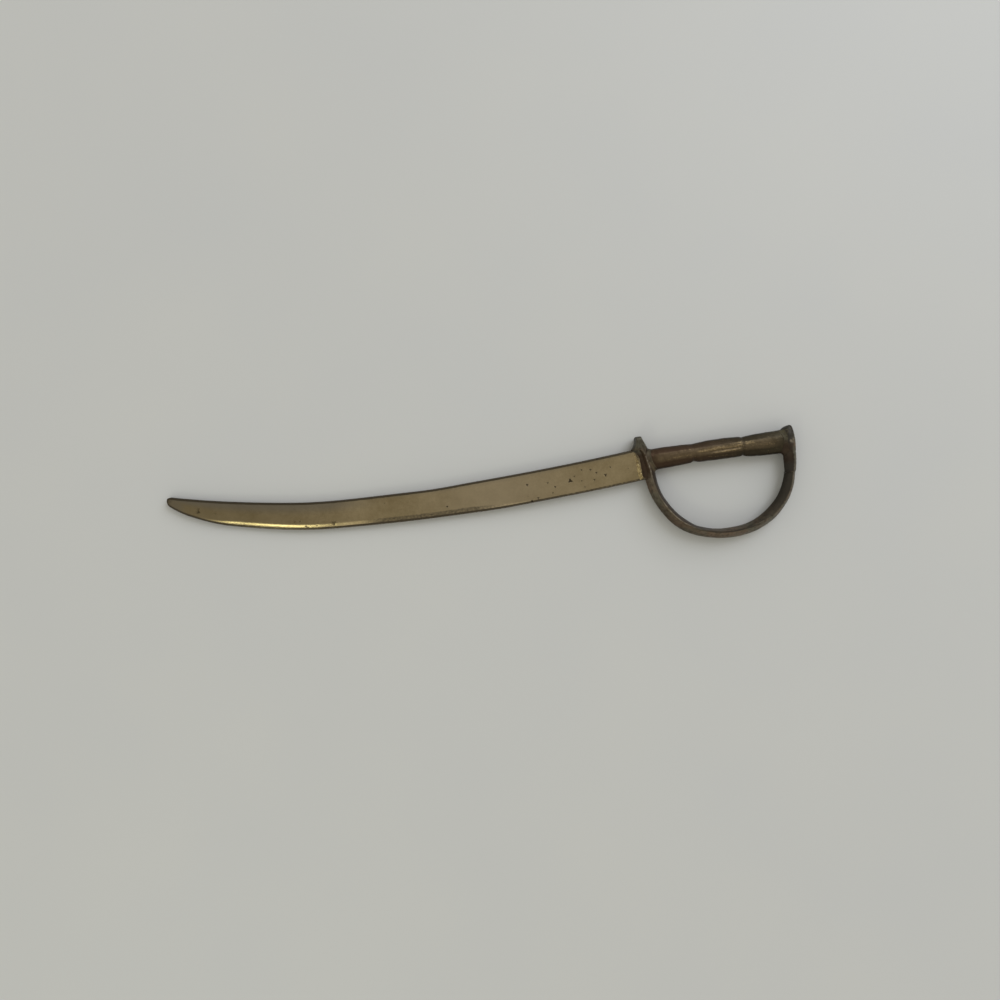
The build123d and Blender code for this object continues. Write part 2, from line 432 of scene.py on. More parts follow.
@dataclass(frozen=True)
class WornSheetBrass:
    """Rolled brass, filed to shape and long handled: a soft satin gloss under a thin olive tarnish."""

    clean: str = "#bca983"
    dull: str = "#93815c"
    tip: str = "#776a4e"
    oxide: str = "#1d150d"
    # Painted shade on the rounded rims, round the point and on the bevel
    rim_shade: str = "#50483a"
    # Painted grey reflection of the room, laid on the upper face
    painted_reflection: str = "#73716e"
    painted_reflection_share: float = 0.5
    pale: str = "#c9b798"
    tip_start: float = -95.0
    tip_end: float = -150.0
    tip_share: float = 0.68
    cloud_width: float = 18.0
    cloud_span: Span = (0.35, 0.68)
    blotch_width: float = 2.6
    blotch_share: float = 1.1
    grain_width: float = 0.7
    tarnish_span: Span = (0.5, 2.15)
    file_mark_width: float = 0.35
    file_mark_length: float = 9.0
    file_mark_depth: float = 0.02
    file_mark_strength: float = 0.25
    speck_spacing: float = 2.0
    speck_radius: float = 0.3
    speck_chance: Span = (0.5, 1.0)
    speck_edge: Span = (0.03, -0.04)
    speck_dark: float = 0.8
    speck_start: float = -75.0
    speck_full: float = -30.0
    speck_least: float = 0.4
    rim_grain: float = 0.6
    rim_ragged: float = 0.6
    rim_span: Span = (0.55, 1.05)
    roughness: float = 0.17
    smoother: float = 0.05
    rougher: float = 0.09
    spot_roughness: float = 0.6

    def specks(self, tree: Tree, place: Socket, along: Socket) -> Socket:
        """Dark specks that are larger toward the hilt.

        Args:
            tree: Tree that takes the nodes.
            place: Place in the frame.
            along: Place along the blade.

        Returns:
            How dark each place is.
        """
        cells = add_node(tree, "ShaderNodeTexVoronoi", {
            "Vector": place, "Scale": 1 / (self.speck_spacing * MM), "Randomness": 1.0,
        })
        chance = add_node(tree, "ShaderNodeSeparateColor", {"Color": cells.node.outputs["Color"]})
        reach = ramp(tree, chance, self.speck_chance, end=self.speck_radius / self.speck_spacing)
        near = ramp(tree, along, (self.speck_start * MM, self.speck_full * MM), self.speck_least)
        edge = calc(tree, "SUBTRACT", cells, calc(tree, "MULTIPLY", reach, near))
        return ramp(tree, edge, self.speck_edge, end=self.speck_dark)

    def material(self) -> Material:
        """Build the finish.

        Returns:
            The blade's material.
        """
        material = new_material("worn_sheet_brass")
        tree = material.node_tree
        place = object_place(tree)
        along = add_node(tree, "ShaderNodeSeparateXYZ", {"Vector": place})
        cloud = lumps(tree, place, self.cloud_width, detail=4.0, roughness=0.6)
        blotch = lumps(tree, place, self.blotch_width, detail=4.0, roughness=0.65)
        grain = lumps(tree, place, self.grain_width, roughness=0.6)
        tarnish = ramp(tree, cloud, self.cloud_span)
        tarnish = calc(tree, "MULTIPLY_ADD", blotch, self.blotch_share, tarnish)
        tarnish = ramp(tree, calc(tree, "ADD", grain, tarnish), self.tarnish_span)
        # File marks run with the blade
        marks = streaks(tree, place, self.file_mark_length, self.file_mark_width)
        # Real pits and specks take the oxide colour, and so does a painted shade line along the outline
        spot = calc(tree, "MAXIMUM", read_mark(tree, "pits_and_outline_shade"), self.specks(tree, place, along))
        crumbs = lumps(tree, place, self.rim_grain)
        # Painted shade on the rounded edges, round the point and on the bevel, darkening what they would
        # reflect of the bright room, ragged by fine noise
        rim_shade = calc(tree, "MULTIPLY_ADD", crumbs, self.rim_ragged, read_mark(tree, "rim_shade"))
        far = ramp(tree, along, (self.tip_start * MM, self.tip_end * MM), end=self.tip_share)
        # Painted grey reflection of the room on the upper face, near the spine and toward the point
        painted_reflection = calc(tree, "MULTIPLY", read_mark(tree, "painted_reflection"), self.painted_reflection_share)
        tone = mix(tree, tarnish, self.clean, self.dull)
        tone = mix(tree, far, tone, self.tip)
        tone = mix(tree, read_mark(tree, "wiped"), tone, self.pale)
        tone = mix(tree, painted_reflection, tone, self.painted_reflection)
        tone = mix(tree, ramp(tree, rim_shade, self.rim_span), tone, self.rim_shade)
        tone = mix(tree, spot, tone, self.oxide)
        gloss = ramp(tree, marks, UNIT, self.roughness - self.smoother, self.roughness + self.rougher)
        gloss = calc(tree, "MULTIPLY_ADD", spot, self.spot_roughness, gloss)
        add_shader(tree, {
            "Base Color": tone,
            "Metallic": 1.0,
            "Roughness": gloss,
            "Normal": bump(tree, marks, self.file_mark_strength, self.file_mark_depth),
        })
        return material


@dataclass(frozen=True)
class PatinatedCastBrass:
    """Cast brass, never polished back: brown and olive patina, paler where ridges are rubbed."""

    brown: str = "#6a5948"
    olive: str = "#5c5849"
    dark: str = "#32291f"
    burnt: str = "#36281b"
    sheltered: str = "#312c26"
    moss: str = "#3d3a31"
    rubbed: str = "#9a917c"
    gold: str = "#b0965e"
    ridge_wear: float = 0.8
    wear_start: float = 1.04
    wear_full: float = 1.07
    wear_ragged: float = 0.12
    burnt_end: float = 6.0
    sheltered_start: float = 18.0
    patch_width: float = 5.0
    patch_span: Span = (0.4, 0.6)
    grain_width: float = 0.9
    shade: float = 0.9
    shade_span: Span = (0.94, 1.2)
    streak_length: float = 7.0
    streak_width: float = 0.45
    scuff: float = 0.4
    scuff_span: Span = (0.54, 0.74)
    fleck_width: float = 0.4
    fleck_share: float = 1.6
    fleck_gain: float = 1.25
    gold_span: Span = (1.95, 2.9)
    metallic: float = 0.85
    roughness: float = 0.42
    smoother: float = 0.1
    rougher: float = 0.12
    relief_depth: float = 0.08
    relief_strength: float = 0.6
    streak: bool = False

    def material(self) -> Material:
        """Build the finish.

        Returns:
            The hilt's material, with worn streaks where they are asked for.
        """
        material = new_material("patinated_cast_brass_worn" if self.streak else "patinated_cast_brass")
        tree = material.node_tree
        place = object_place(tree)
        green = read_mark(tree, "olive")
        patch = lumps(tree, place, self.patch_width, detail=4.0, roughness=0.6)
        hue = calc(tree, "MAXIMUM", ramp(tree, patch, self.patch_span), green)
        grain = lumps(tree, place, self.grain_width, detail=4.0, roughness=0.6)
        # Marks of the mould and the file run along each cast member
        sweep = add_node(tree, "ShaderNodeAttribute", attribute_name="sweep").node.outputs["Vector"]
        scuff = streaks(tree, sweep, self.streak_length, self.streak_width)
        marks = calc(tree, "ADD", scuff, grain)
        tone = mix(tree, hue, self.brown, self.olive)
        tone = mix(tree, ramp(tree, marks, self.shade_span, end=self.shade), tone, self.dark)
        tone = mix(tree, ramp(tree, scuff, self.scuff_span, end=self.scuff), tone, self.rubbed)
        # Painted shade and soot from the brazing: red near the blade, and dull where fingers never reach
        along = add_node(tree, "ShaderNodeSeparateXYZ", {"Vector": place})
        away = ramp(tree, along, (self.burnt_end * MM, self.sheltered_start * MM))
        shade_and_soot = mix(tree, green, mix(tree, away, self.burnt, self.sheltered), self.moss)
        tone = mix(tree, read_mark(tree, "shade_and_soot"), tone, shade_and_soot)
        ragged = calc(tree, "MULTIPLY_ADD", grain, self.wear_ragged, read_mark(tree, "crest"))
        wear = ramp(tree, ragged, (self.wear_start, self.wear_full), end=self.ridge_wear)
        wear = calc(tree, "MULTIPLY", wear, read_mark(tree, "wear"))
        tone = mix(tree, wear, tone, self.rubbed)
        if self.streak:
            crumbs = lumps(tree, place, self.fleck_width)
            flecks = calc(tree, "MULTIPLY_ADD", crumbs, self.fleck_share, scuff)
            worn = calc(tree, "MULTIPLY_ADD", flecks, self.fleck_gain, read_mark(tree, "gold"))
            tone = mix(tree, ramp(tree, worn, self.gold_span), tone, self.gold)
        gloss = ramp(tree, grain, UNIT, self.roughness - self.smoother, self.roughness + self.rougher)
        add_shader(tree, {
            "Base Color": tone,
            "Metallic": self.metallic,
            "Roughness": gloss,
            "Normal": bump(tree, marks, self.relief_strength, self.relief_depth),
        })
        return material


@dataclass(frozen=True)
class BrazeFiller:
    """Brazing brass, left as it ran: brighter and yellower than the blade, flecked with old flux."""

    bright: str = "#cdb987"
    tarnish: str = "#a08c5e"
    flux: str = "#5d4b30"
    fleck_width: float = 0.7
    bright_span: Span = (0.48, 0.66)
    flux_span: Span = (0.42, 0.32)
    roughness: float = 0.3
    relief_depth: float = 0.05
    relief_strength: float = 0.4

    def material(self) -> Material:
        """Build the finish.

        Returns:
            The braze's material.
        """
        material = new_material("braze_filler")
        tree = material.node_tree
        fleck = lumps(tree, object_place(tree), self.fleck_width)
        tone = mix(tree, ramp(tree, fleck, self.bright_span), self.tarnish, self.bright)
        tone = mix(tree, ramp(tree, fleck, self.flux_span), tone, self.flux)
        add_shader(tree, {
            "Base Color": tone,
            "Metallic": 1.0,
            "Roughness": self.roughness,
            "Normal": bump(tree, fleck, self.relief_strength, self.relief_depth),
        })
        return material


@dataclass(frozen=True)
class TableLaminate:
    """Pale melamine laminate, pressed with a fine satin texture: an even, faintly mottled grey."""

    colour: str = "#c6c5be"
    mottle: str = "#c1c1bd"
    mottle_width: float = 60.0
    roughness: float = 0.55

    def material(self) -> Material:
        """Build the finish.

        Returns:
            The floor's material.
        """
        material = new_material("table_laminate")
        tree = material.node_tree
        cloud = lumps(tree, object_place(tree), self.mottle_width, detail=2.0)
        tone = mix(tree, cloud, self.colour, self.mottle)
        add_shader(tree, {"Base Color": tone, "Roughness": self.roughness})
        return material


@dataclass(frozen=True)
class Station:
    """One cross-section of a cast member.

    Attributes:
        heart: Point under the ridge, at mid-height.
        outward: From the heart to the outer edge.
        inward: From the heart to the inner edge.
        rise: From the heart up to the ridge.
        flat: Share of the height at which the ridge is rubbed flat.
        wear: How much the ridge's patina is rubbed, from 0 to 1.
        roundness: 1 gives flat flanks that meet in a ridge, 2 an oval, more a block.
        shade_and_soot_out: How dark the outer flank is, from 0 to 1, as painted shade with soot.
        shade_and_soot_in: How dark the inner flank is, from 0 to 1, as painted shade with soot.
        outline_shade: Painted shade, how much darker both flanks grow toward the outline, from 0 to 1.
        soot_ridge: How dark a line along the ridge is, from 0 to 1.
        olive: How much of the patina has turned olive, from 0 to 1.
    """

    heart: Vector
    outward: Vector
    inward: Vector
    rise: float
    flat: float = 0.95
    wear: float = 0.0
    roundness: float = FLANK_ROUNDNESS
    shade_and_soot_out: float = 0.0
    shade_and_soot_in: float = 1.0
    outline_shade: float = 0.0
    soot_ridge: float = 0.0
    olive: float = 0.0

    @property
    def power(self) -> float:
        """Exponent that gives the flanks their roundness."""
        return 2 / self.roundness

    @classmethod
    def closed(cls, heart: Vector) -> "Station":
        """Station at which a member is closed to a point."""
        return cls(heart, Vector(), Vector(), 0.0)


@dataclass
class RidgedBand:
    """Geometry Nodes tree that wraps a ridged section round a line of stations.

    Attributes:
        section_points: Points round one section.
        softness: How gently the rubbed ridge runs into the flanks.
        wrap_radius: Radius at which the finish's marks are laid round the member.
        weld: Distance under which points become one.
        shade_and_soot_span: Where the outer flank's painted shade and soot go over into the inner's, as
            shares of the reach.
        ridge_start: Share of the rise at which the ridge's own soot begins.
        arrows: Names of the stations' directions.
        numbers: Names of the stations' other values.
    """

    section_points: int = 72
    softness: float = 0.06
    wrap_radius: float = 2.4
    weld: float = 0.002
    shade_and_soot_span: Span = (0.06, -0.12)
    ridge_start: float = 0.88
    arrows: tuple[str, ...] = ("outward", "inward")
    numbers: tuple[str, ...] = (
        "rise", "flat", "wear", "power", "shade_and_soot_out", "shade_and_soot_in", "outline_shade", "soot_ridge", "olive",
    )

    def shares(self, turn: float, flat: float, roundness: float) -> tuple[float, float]:
        """Place on the section, as the tree works it out.

        Args:
            turn: Angle round the section, in radians.
            flat: The station's rubbed flat.
            roundness: The station's roundness.

        Returns:
            Share of the reach to the side, and share of the rise.
        """
        power = 2 / roundness
        side = math.copysign(abs(math.cos(turn)) ** power, math.cos(turn))
        lift = abs(math.sin(turn)) ** power
        near = max(self.softness - abs(lift - flat), 0.0) / self.softness
        lift = (min(lift, flat) - near ** 3 * self.softness / 6) / flat
        return side, math.copysign(lift, math.sin(turn))

    def side_at(self, lift: float, flat: float, roundness: float = FLANK_ROUNDNESS) -> float:
        """Share of the reach to the side at a share of the rise."""
        return round_over(min(1.0, abs(lift) * flat), roundness)

    def tree(self) -> Tree:
        """Build the tree, with named inputs for the section.

        Returns:
            The node tree.
        """
        tree = new_tree("ridged_band", {
            "Stations": "Geometry",
            "Section Points": "Int",
            "Ridge Softness": "Float",
            "Wrap Radius": "Float",
            "Weld": "Float",
            "Finish": "Material",
        }, "Band")
        given = add_node(tree, "NodeGroupInput").node.outputs
        count = add_node(tree, "GeometryNodeAttributeDomainSize", {"Geometry": given["Stations"]})
        around = calc(tree, "ADD", given["Section Points"], 1.0)
        grid = add_node(tree, "GeometryNodeMeshGrid", {"Vertices X": count, "Vertices Y": around})
        index = add_node(tree, "GeometryNodeInputIndex")
        row = calc(tree, "FLOOR", calc(tree, "DIVIDE", calc(tree, "ADD", index, 0.5), around))
        step = calc(tree, "SUBTRACT", index, calc(tree, "MULTIPLY", row, around))
        turn = calc(tree, "DIVIDE", step, given["Section Points"])
        angle = calc(tree, "MULTIPLY", turn, math.tau)
        held = {"heart": add_node(tree, "GeometryNodeInputPosition")}
        for name in (*self.arrows, *self.numbers, "along"):
            kind = "FLOAT_VECTOR" if name in self.arrows else "FLOAT"
            held[name] = add_node(tree, "GeometryNodeInputNamedAttribute", {"Name": name}, data_type=kind)
        sampled = {}
        for name, value in held.items():
            kind = "FLOAT_VECTOR" if name in ("heart", *self.arrows) else "FLOAT"
            sampled[name] = add_node(tree, "GeometryNodeSampleIndex", {
                "Geometry": given["Stations"], "Value": value, "Index": row,
            }, data_type=kind)
        shares = {}
        wrap = {"X": sampled["along"]}
        for wave_kind, axis in (("COSINE", "Y"), ("SINE", "Z")):
            wave = calc(tree, wave_kind, angle)
            wrap[axis] = calc(tree, "MULTIPLY", wave, given["Wrap Radius"])
            size = calc(tree, "POWER", calc(tree, "ABSOLUTE", wave), sampled["power"])
            if wave_kind == "SINE":
                size = calc(tree, "SMOOTH_MIN", size, sampled["flat"], given["Ridge Softness"])
                size = calc(tree, "DIVIDE", size, sampled["flat"])
                crest = size
            shares[wave_kind] = calc(tree, "MULTIPLY", size, calc(tree, "SIGN", wave))
        outside = calc(tree, "MAXIMUM", shares["COSINE"], 0.0)
        inside = calc(tree, "ABSOLUTE", calc(tree, "MINIMUM", shares["COSINE"], 0.0))
        lift = calc(tree, "MULTIPLY", sampled["rise"], shares["SINE"])
        point = sampled["heart"]
        for reach in (
            add_node(tree, "ShaderNodeCombineXYZ", {"Z": lift}),
            scaled(tree, sampled["outward"], outside),
            scaled(tree, sampled["inward"], inside),
        ):
            point = add_node(tree, "ShaderNodeVectorMath", {0: point, 1: reach}, operation="ADD")
        body = add_node(tree, "GeometryNodeSetPosition", {"Geometry": grid, "Position": point})
        # Painted shade with soot across the flanks, darker toward the outline, plus a dark line on the
        # ridge
        shade_and_soot = ramp(tree, shares["COSINE"], self.shade_and_soot_span, sampled["shade_and_soot_out"], sampled["shade_and_soot_in"])
        low = calc(tree, "SUBTRACT", 1.0, crest)
        shade_and_soot = calc(tree, "MULTIPLY_ADD", low, sampled["outline_shade"], shade_and_soot)
        ridge = ramp(tree, crest, (self.ridge_start, 1.0), end=sampled["soot_ridge"])
        shade_and_soot = calc(tree, "MAXIMUM", calc(tree, "MINIMUM", shade_and_soot, 1.0), ridge)
        marks = {
            "crest": crest,
            "shade_and_soot": shade_and_soot,
            "wear": sampled["wear"],
            "olive": sampled["olive"],
            "sweep": add_node(tree, "ShaderNodeCombineXYZ", wrap),
        }
        for name, value in marks.items():
            body = add_node(tree, "GeometryNodeStoreNamedAttribute", {
                "Geometry": body, "Name": name, "Value": value,
            }, data_type="FLOAT_VECTOR" if name == "sweep" else "FLOAT", domain="POINT")
        body = add_node(tree, "GeometryNodeMergeByDistance", {"Geometry": body, "Distance": given["Weld"]})
        end_tree(tree, body, given["Finish"], "Band")
        return tree

    def mesh(self, stations: list[Station], material: Material) -> Mesh:
        """Wrap the section round the stations.

        Args:
            stations: Cross-sections in order, the end ones closed to a point or a line.
            material: Finish that the tree sets.

        Returns:
            A plain closed mesh in metres.
        """
        line = bpy.data.meshes.new("stations")
        links = [(row, row + 1) for row in range(len(stations) - 1)]
        line.from_pydata([station.heart * MM for station in stations], links, [])
        for name in self.arrows:
            layer = line.attributes.new(name, "FLOAT_VECTOR", "POINT")
            for item, station in zip(layer.data, stations):
                item.vector = getattr(station, name) * MM
        for name in self.numbers:
            layer = line.attributes.new(name, "FLOAT", "POINT")
            for item, station in zip(layer.data, stations):
                item.value = getattr(station, name) * (MM if name == "rise" else 1)
        run = 0.0
        layer = line.attributes.new("along", "FLOAT", "POINT")
        for item, station, before in zip(layer.data, stations, stations[:1] + stations):
            run += (station.heart - before.heart).length
            item.value = run * MM
        return grow(line, self.tree(), {
            "Section Points": self.section_points,
            "Ridge Softness": self.softness,
            "Wrap Radius": self.wrap_radius * MM,
            "Weld": self.weld * MM,
            "Finish": material,
        })


def grow(seed_mesh: Mesh, tree: Tree, inputs: dict) -> Mesh:
    """Run a Geometry Nodes tree on a mesh and keep only the result.

    Args:
        seed_mesh: Mesh that the tree starts from.
        tree: Tree to run.
        inputs: Values by the name of the tree's input.

    Returns:
        The result as a plain mesh.
    """
    holder = bpy.data.objects.new("holder", seed_mesh)
    bpy.context.collection.objects.link(holder)
    modifier = holder.modifiers.new("grow", "NODES")
    modifier.node_group = tree
    for item in tree.interface.items_tree:
        if item.in_out == "INPUT" and item.name in inputs:
            modifier[item.identifier] = inputs[item.name]
    graph = bpy.context.evaluated_depsgraph_get()
    grown = holder.evaluated_get(graph)
    result = bpy.data.meshes.new_from_object(grown, preserve_all_data_layers=True, depsgraph=graph)
    holder.modifiers.remove(modifier)
    bpy.data.objects.remove(holder)
    bpy.data.meshes.remove(seed_mesh)
    return result


@dataclass
class HiltPlan:
    """Sizes that the guard, the grip and the pommel share."""

    height: float = 5.6
    guard_thickness: float = 4.2
    bow_thickness: float = 3.1
    bow_shift: float = 0.35
    loop_radius: float = 21.6
    loop_drop: float = 4.8
    guard_lean: float = 0.8
    quillon_height: float = 7.9
    quillon_tip_width: float = 2.1
    quillon_forward: float = 1.5
    joint_drop: float = 10.6
    joint_film: float = 0.25

    @property
    def middle(self) -> float:
        """Mid-height of the hilt."""
        return self.height / 2

    @property
    def thinning(self) -> float:
        """Half of what the bow loses in thickness at its lowest point."""
        return (self.guard_thickness - self.bow_thickness) / 2

    @property
    def ridge_radius(self) -> float:
        """Radius of the ridge round the finger loop."""
        return self.loop_radius + self.guard_thickness / 2

    @property
    def loop_x(self) -> float:
        """Centre of the finger loop, along the grip."""
        return self.guard_lean + self.ridge_radius

    @property
    def ridge_level(self) -> float:
        """Level at which the bow's ridge begins."""
        return self.thinning - self.loop_drop

    @property
    def tip_level(self) -> float:
        """Centre of the quillon's round tip."""
        return self.quillon_height - self.quillon_tip_width / 2

    @property
    def lean(self) -> float:
        """How far the ridge leans forward for each millimetre up."""
        return (self.guard_lean + self.quillon_forward) / (self.tip_level - self.ridge_level)

    @property
    def face_x(self) -> tuple[float, float]:
        """Where the finger loop meets the guard and the pommel."""
        centre = self.loop_x - self.bow_shift / 2
        return centre - self.loop_radius, centre + self.loop_radius

    def ridge_x(self, level: float) -> float:
        """Place of the guard's leaning ridge at a level."""
        return self.guard_lean - (level - self.ridge_level) * self.lean

    def circle(self, side: float) -> tuple[Vector, float]:
        """Circle that one outline of the bow follows.

        Args:
            side: 1 for the outer outline, 0 for the ridge, -1 for the inner outline.

        Returns:
            Centre at mid-height, and radius.
        """
        centre = Vector((
            self.loop_x + side * self.bow_shift / 2,
            self.ridge_level + side * self.thinning,
            self.middle,
        ))
        return centre, self.ridge_radius + side * self.guard_thickness / 2

    def on_circle(self, side: float, turn: float, inset: float = 0.0) -> Vector:
        """Point on one outline of the bow.

        Args:
            side: 1, 0 or -1, as for circle.
            turn: Angle round the loop, in radians.
            inset: How far inside the outline.

        Returns:
            The point at mid-height.
        """
        centre, radius = self.circle(side)
        return centre + (radius - inset) * Vector((math.cos(turn), math.sin(turn), 0))

    def turn_at(self, side: float, level: float) -> float:
        """Angle at which an outline's pommel side crosses a level, in radians."""
        centre, radius = self.circle(side)
        return math.asin((level - centre.y) / radius)

    def near_x(self, side: float, level: float) -> float:
        """Place at which an outline's guard side crosses a level."""
        centre, radius = self.circle(side)
        return centre.x - math.sqrt(radius ** 2 - (level - centre.y) ** 2)


@dataclass
class Casting:
    """A cast member of the hilt: a ridged band with small hollows in its skin."""

    plan: HiltPlan
    finish: PatinatedCastBrass
    node: str = ""
    hollows: tuple[Hollows, ...] = ()
    band: RidgedBand = field(default_factory=RidgedBand)

    def stations(self) -> list[Station]:
        """Cross-sections in order, which each casting has of its own."""
        raise NotImplementedError

    def carve(self, mesh: Mesh) -> None:
        """Cut what a casting has beyond its stations, where it has something."""

    def build(self) -> Piece:
        """Make the casting and give it its patina.

        Returns:
            The finished piece.
        """
        material = self.finish.material()
        mesh = self.band.mesh(self.stations(), material)
        face_outward(mesh)
        for hollows in self.hollows:
            hollows.press(mesh)
        self.carve(mesh)
        return add_piece(f"{self.node}_cast", mesh, material, self.node)


@dataclass
class KnuckleGuard(Casting):
    """The quillon, the cross and the bow, cast in one."""

    node: str = "knuckle_guard"
    hollows: tuple[Hollows, ...] = (Hollows(0.12, 3.2, 1.7), Hollows(0.06, 0.9, 2.3))
    shoulder_level: float = 3.4
    shoulder_x: float = 1.3
    front_half_width: float = 1.3
    flare_reach: float = 3.7
    flare_level: float = 3.85
    flare_hollow: float = 0.45
    flare_edge: float = 0.4
    crown_level: float = 6.5
    spine_level: float = 4.2
    cross_steps: int = 110
    bow_steps: int = 280
    tip_width: float = 2.55
    tip_height: float = 8.12
    tip_round: float = 0.95
    tip_centre: float = -1.58
    cross_flat: float = 0.945
    cross_run: float = 0.2
    bow_flat: float = 0.97
    quillon: Fade = Fade(2.0, 5.0)
    quillon_flat: float = 0.72
    quillon_roundness: float = 2.0
    ridge_begin: Fade = Fade(0.0, 0.1)
    ridge_left: Fade = Fade(0.3, 0.5, 0.25, 0.74)
    ridge_right: Fade = Fade(0.9, 1.0, -0.48, 0.0)
    ridge_cross: Fade = Fade(0.575, 0.8)
    ridge_follow: float = 0.2
    outer_swells: tuple[Swell, ...] = (
        Swell(231, 17, 0.58), Swell(305, 23, 0.56), Swell(345, 9, -0.6), Swell(200, 8, 0.12),
    )
    inner_swells: tuple[Swell, ...] = (
        Swell(271, 14, 0.34), Swell(213, 13, 0.2), Swell(240, 6, -0.16), Swell(325, 12, -0.18),
    )
    # Darkening of the flanks: the tip darker, painted shade with soot on the cross's front and rear
    # flanks, painted shade toward the quillon's outline
    tip_dark: Fade = Fade(6.6, 7.9, 0.0, 0.9)
    front_shade_and_soot: Fade = Fade(1.2, 3.6, 0.9, 0.25)
    rear_shade_and_soot: Fade = Fade(2.0, 5.0, 0.75, 0.4)
    edge_shade: float = 1.1
    cross_wear: Fade = Fade(0.5, 4.0, 0.65, 0.0)
    bow_wear: Fade = Fade(0.0, 0.07, 0.65, 0.0)
    bow_rub: Swell = Swell(219, 20, 0.95)
    outer_dark: Fade = Fade(0.0, 0.05, 0.9, 0.0)
    outer_stain: Swell = Swell(222, 22, 0.5)
    # Painted shade on the bow's inner flank, which faces the loop, lifted at the bottom where that flank
    # faces the window
    inner_shade_and_soot: Fade = Fade(0.6, 0.85, 0.9, 1.0)
    inner_lit: Swell = Swell(275, 28, 0.8)
    ridge_soot: tuple[Fade, ...] = (
        Fade(0.38, 0.45, 0.65, 0.9), Fade(0.08, 0.16), Fade(0.65, 0.75, 1.0, 0.0),
    )
    bow_olive: Fade = Fade(0.6, 0.8, 0.0, 0.4)

    @property
    def tip_level(self) -> float:
        """Level at which the quillon's tip begins to round over."""
        return self.tip_height - self.tip_round

    def tip_half(self, level: float) -> float:
        """Half of the quillon's width where its tip rounds over."""
        return self.tip_width / 2 * round_over(min(1.0, (level - self.tip_level) / self.tip_round))

    def front_x(self, level: float) -> float:
        """Front outline of the cross and the quillon.

        Args:
            level: Height above the grip's axis.

        Returns:
            Place along the grip's axis.
        """
        plan = self.plan
        if level >= self.tip_level:
            return self.tip_centre - self.tip_half(level)
        bow_centre, bow_radius = plan.circle(1)
        start = bow_centre.x - bow_radius
        corner = plan.ridge_x(self.spine_level) - self.front_half_width
        plain = blend(start, corner, (level - bow_centre.y) / (self.spine_level - bow_centre.y))
        if level <= self.flare_level - self.flare_edge:
            return plain
        foot = plan.ridge_x(self.flare_level) - self.flare_reach
        top = self.tip_centre - self.tip_width / 2
        share = max(0.0, (level - self.flare_level) / (self.tip_level - self.flare_level))
        flare = blend(foot, top, share) + self.flare_hollow * 4 * share * (1 - share)
        return blend(plain, flare, ease(self.flare_level - self.flare_edge, self.flare_level, level))

    def rear_x(self, level: float) -> float:
        """Rear outline of the cross and the quillon.

        Args:
            level: Height above the grip's axis.

        Returns:
            Place along the grip's axis.
        """
        if level >= self.tip_level:
            return self.tip_centre + self.tip_half(level)
        if level >= self.shoulder_level:
            share = (level - self.shoulder_level) / (self.tip_level - self.shoulder_level)
            return blend(self.shoulder_x, self.tip_centre + self.tip_width / 2, share)
        drop = self.plan.loop_drop
        return blend(self.plan.face_x[0], self.shoulder_x, (level + drop) / (self.shoulder_level + drop))

    def ridge_inset(self, share: float) -> float:
        """How far the ridge lies inside the bow's middle line, at a share of the way round the bow."""
        left = self.ridge_begin.at(share) * self.ridge_left.at(share)
        return blend(left, self.ridge_right.at(share), self.ridge_cross.at(share))

    def cross(self) -> list[Station]:
        """Cross-sections from the quillon's tip down to the bow.

        Returns:
            The stations in order.
        """
        plan = self.plan
        result = []
        for step in range(self.cross_steps):
            share = 1 - step / self.cross_steps
            level = blend(plan.ridge_level, self.tip_height, share)
            front_level = blend(plan.circle(1)[0].y, self.tip_height, share)
            rear_level = blend(-plan.loop_drop, self.tip_height, share)
            heart = Vector((plan.ridge_x(level), level, plan.middle))
            front = Vector((self.front_x(front_level), front_level, plan.middle))
            rear = Vector((self.rear_x(rear_level), rear_level, plan.middle))
            crown = max(0.0, (level - self.crown_level) / (self.tip_height - self.crown_level))
            up = self.quillon.at(level)
            tip = self.tip_dark.at(level)
            result.append(Station(
                heart, front - heart, rear - heart, plan.middle * round_over(crown),
                flat=blend(self.cross_flat, self.quillon_flat, up),
                wear=self.cross_wear.at(level),
                roundness=blend(FLANK_ROUNDNESS, self.quillon_roundness, up),
                # Painted shade with soot on the flanks, painted shade toward the quillon's outline
                shade_and_soot_out=max(tip, self.front_shade_and_soot.at(level)),
                shade_and_soot_in=max(tip, self.rear_shade_and_soot.at(level)),
                outline_shade=self.edge_shade * up,
                olive=up,
            ))
        return result

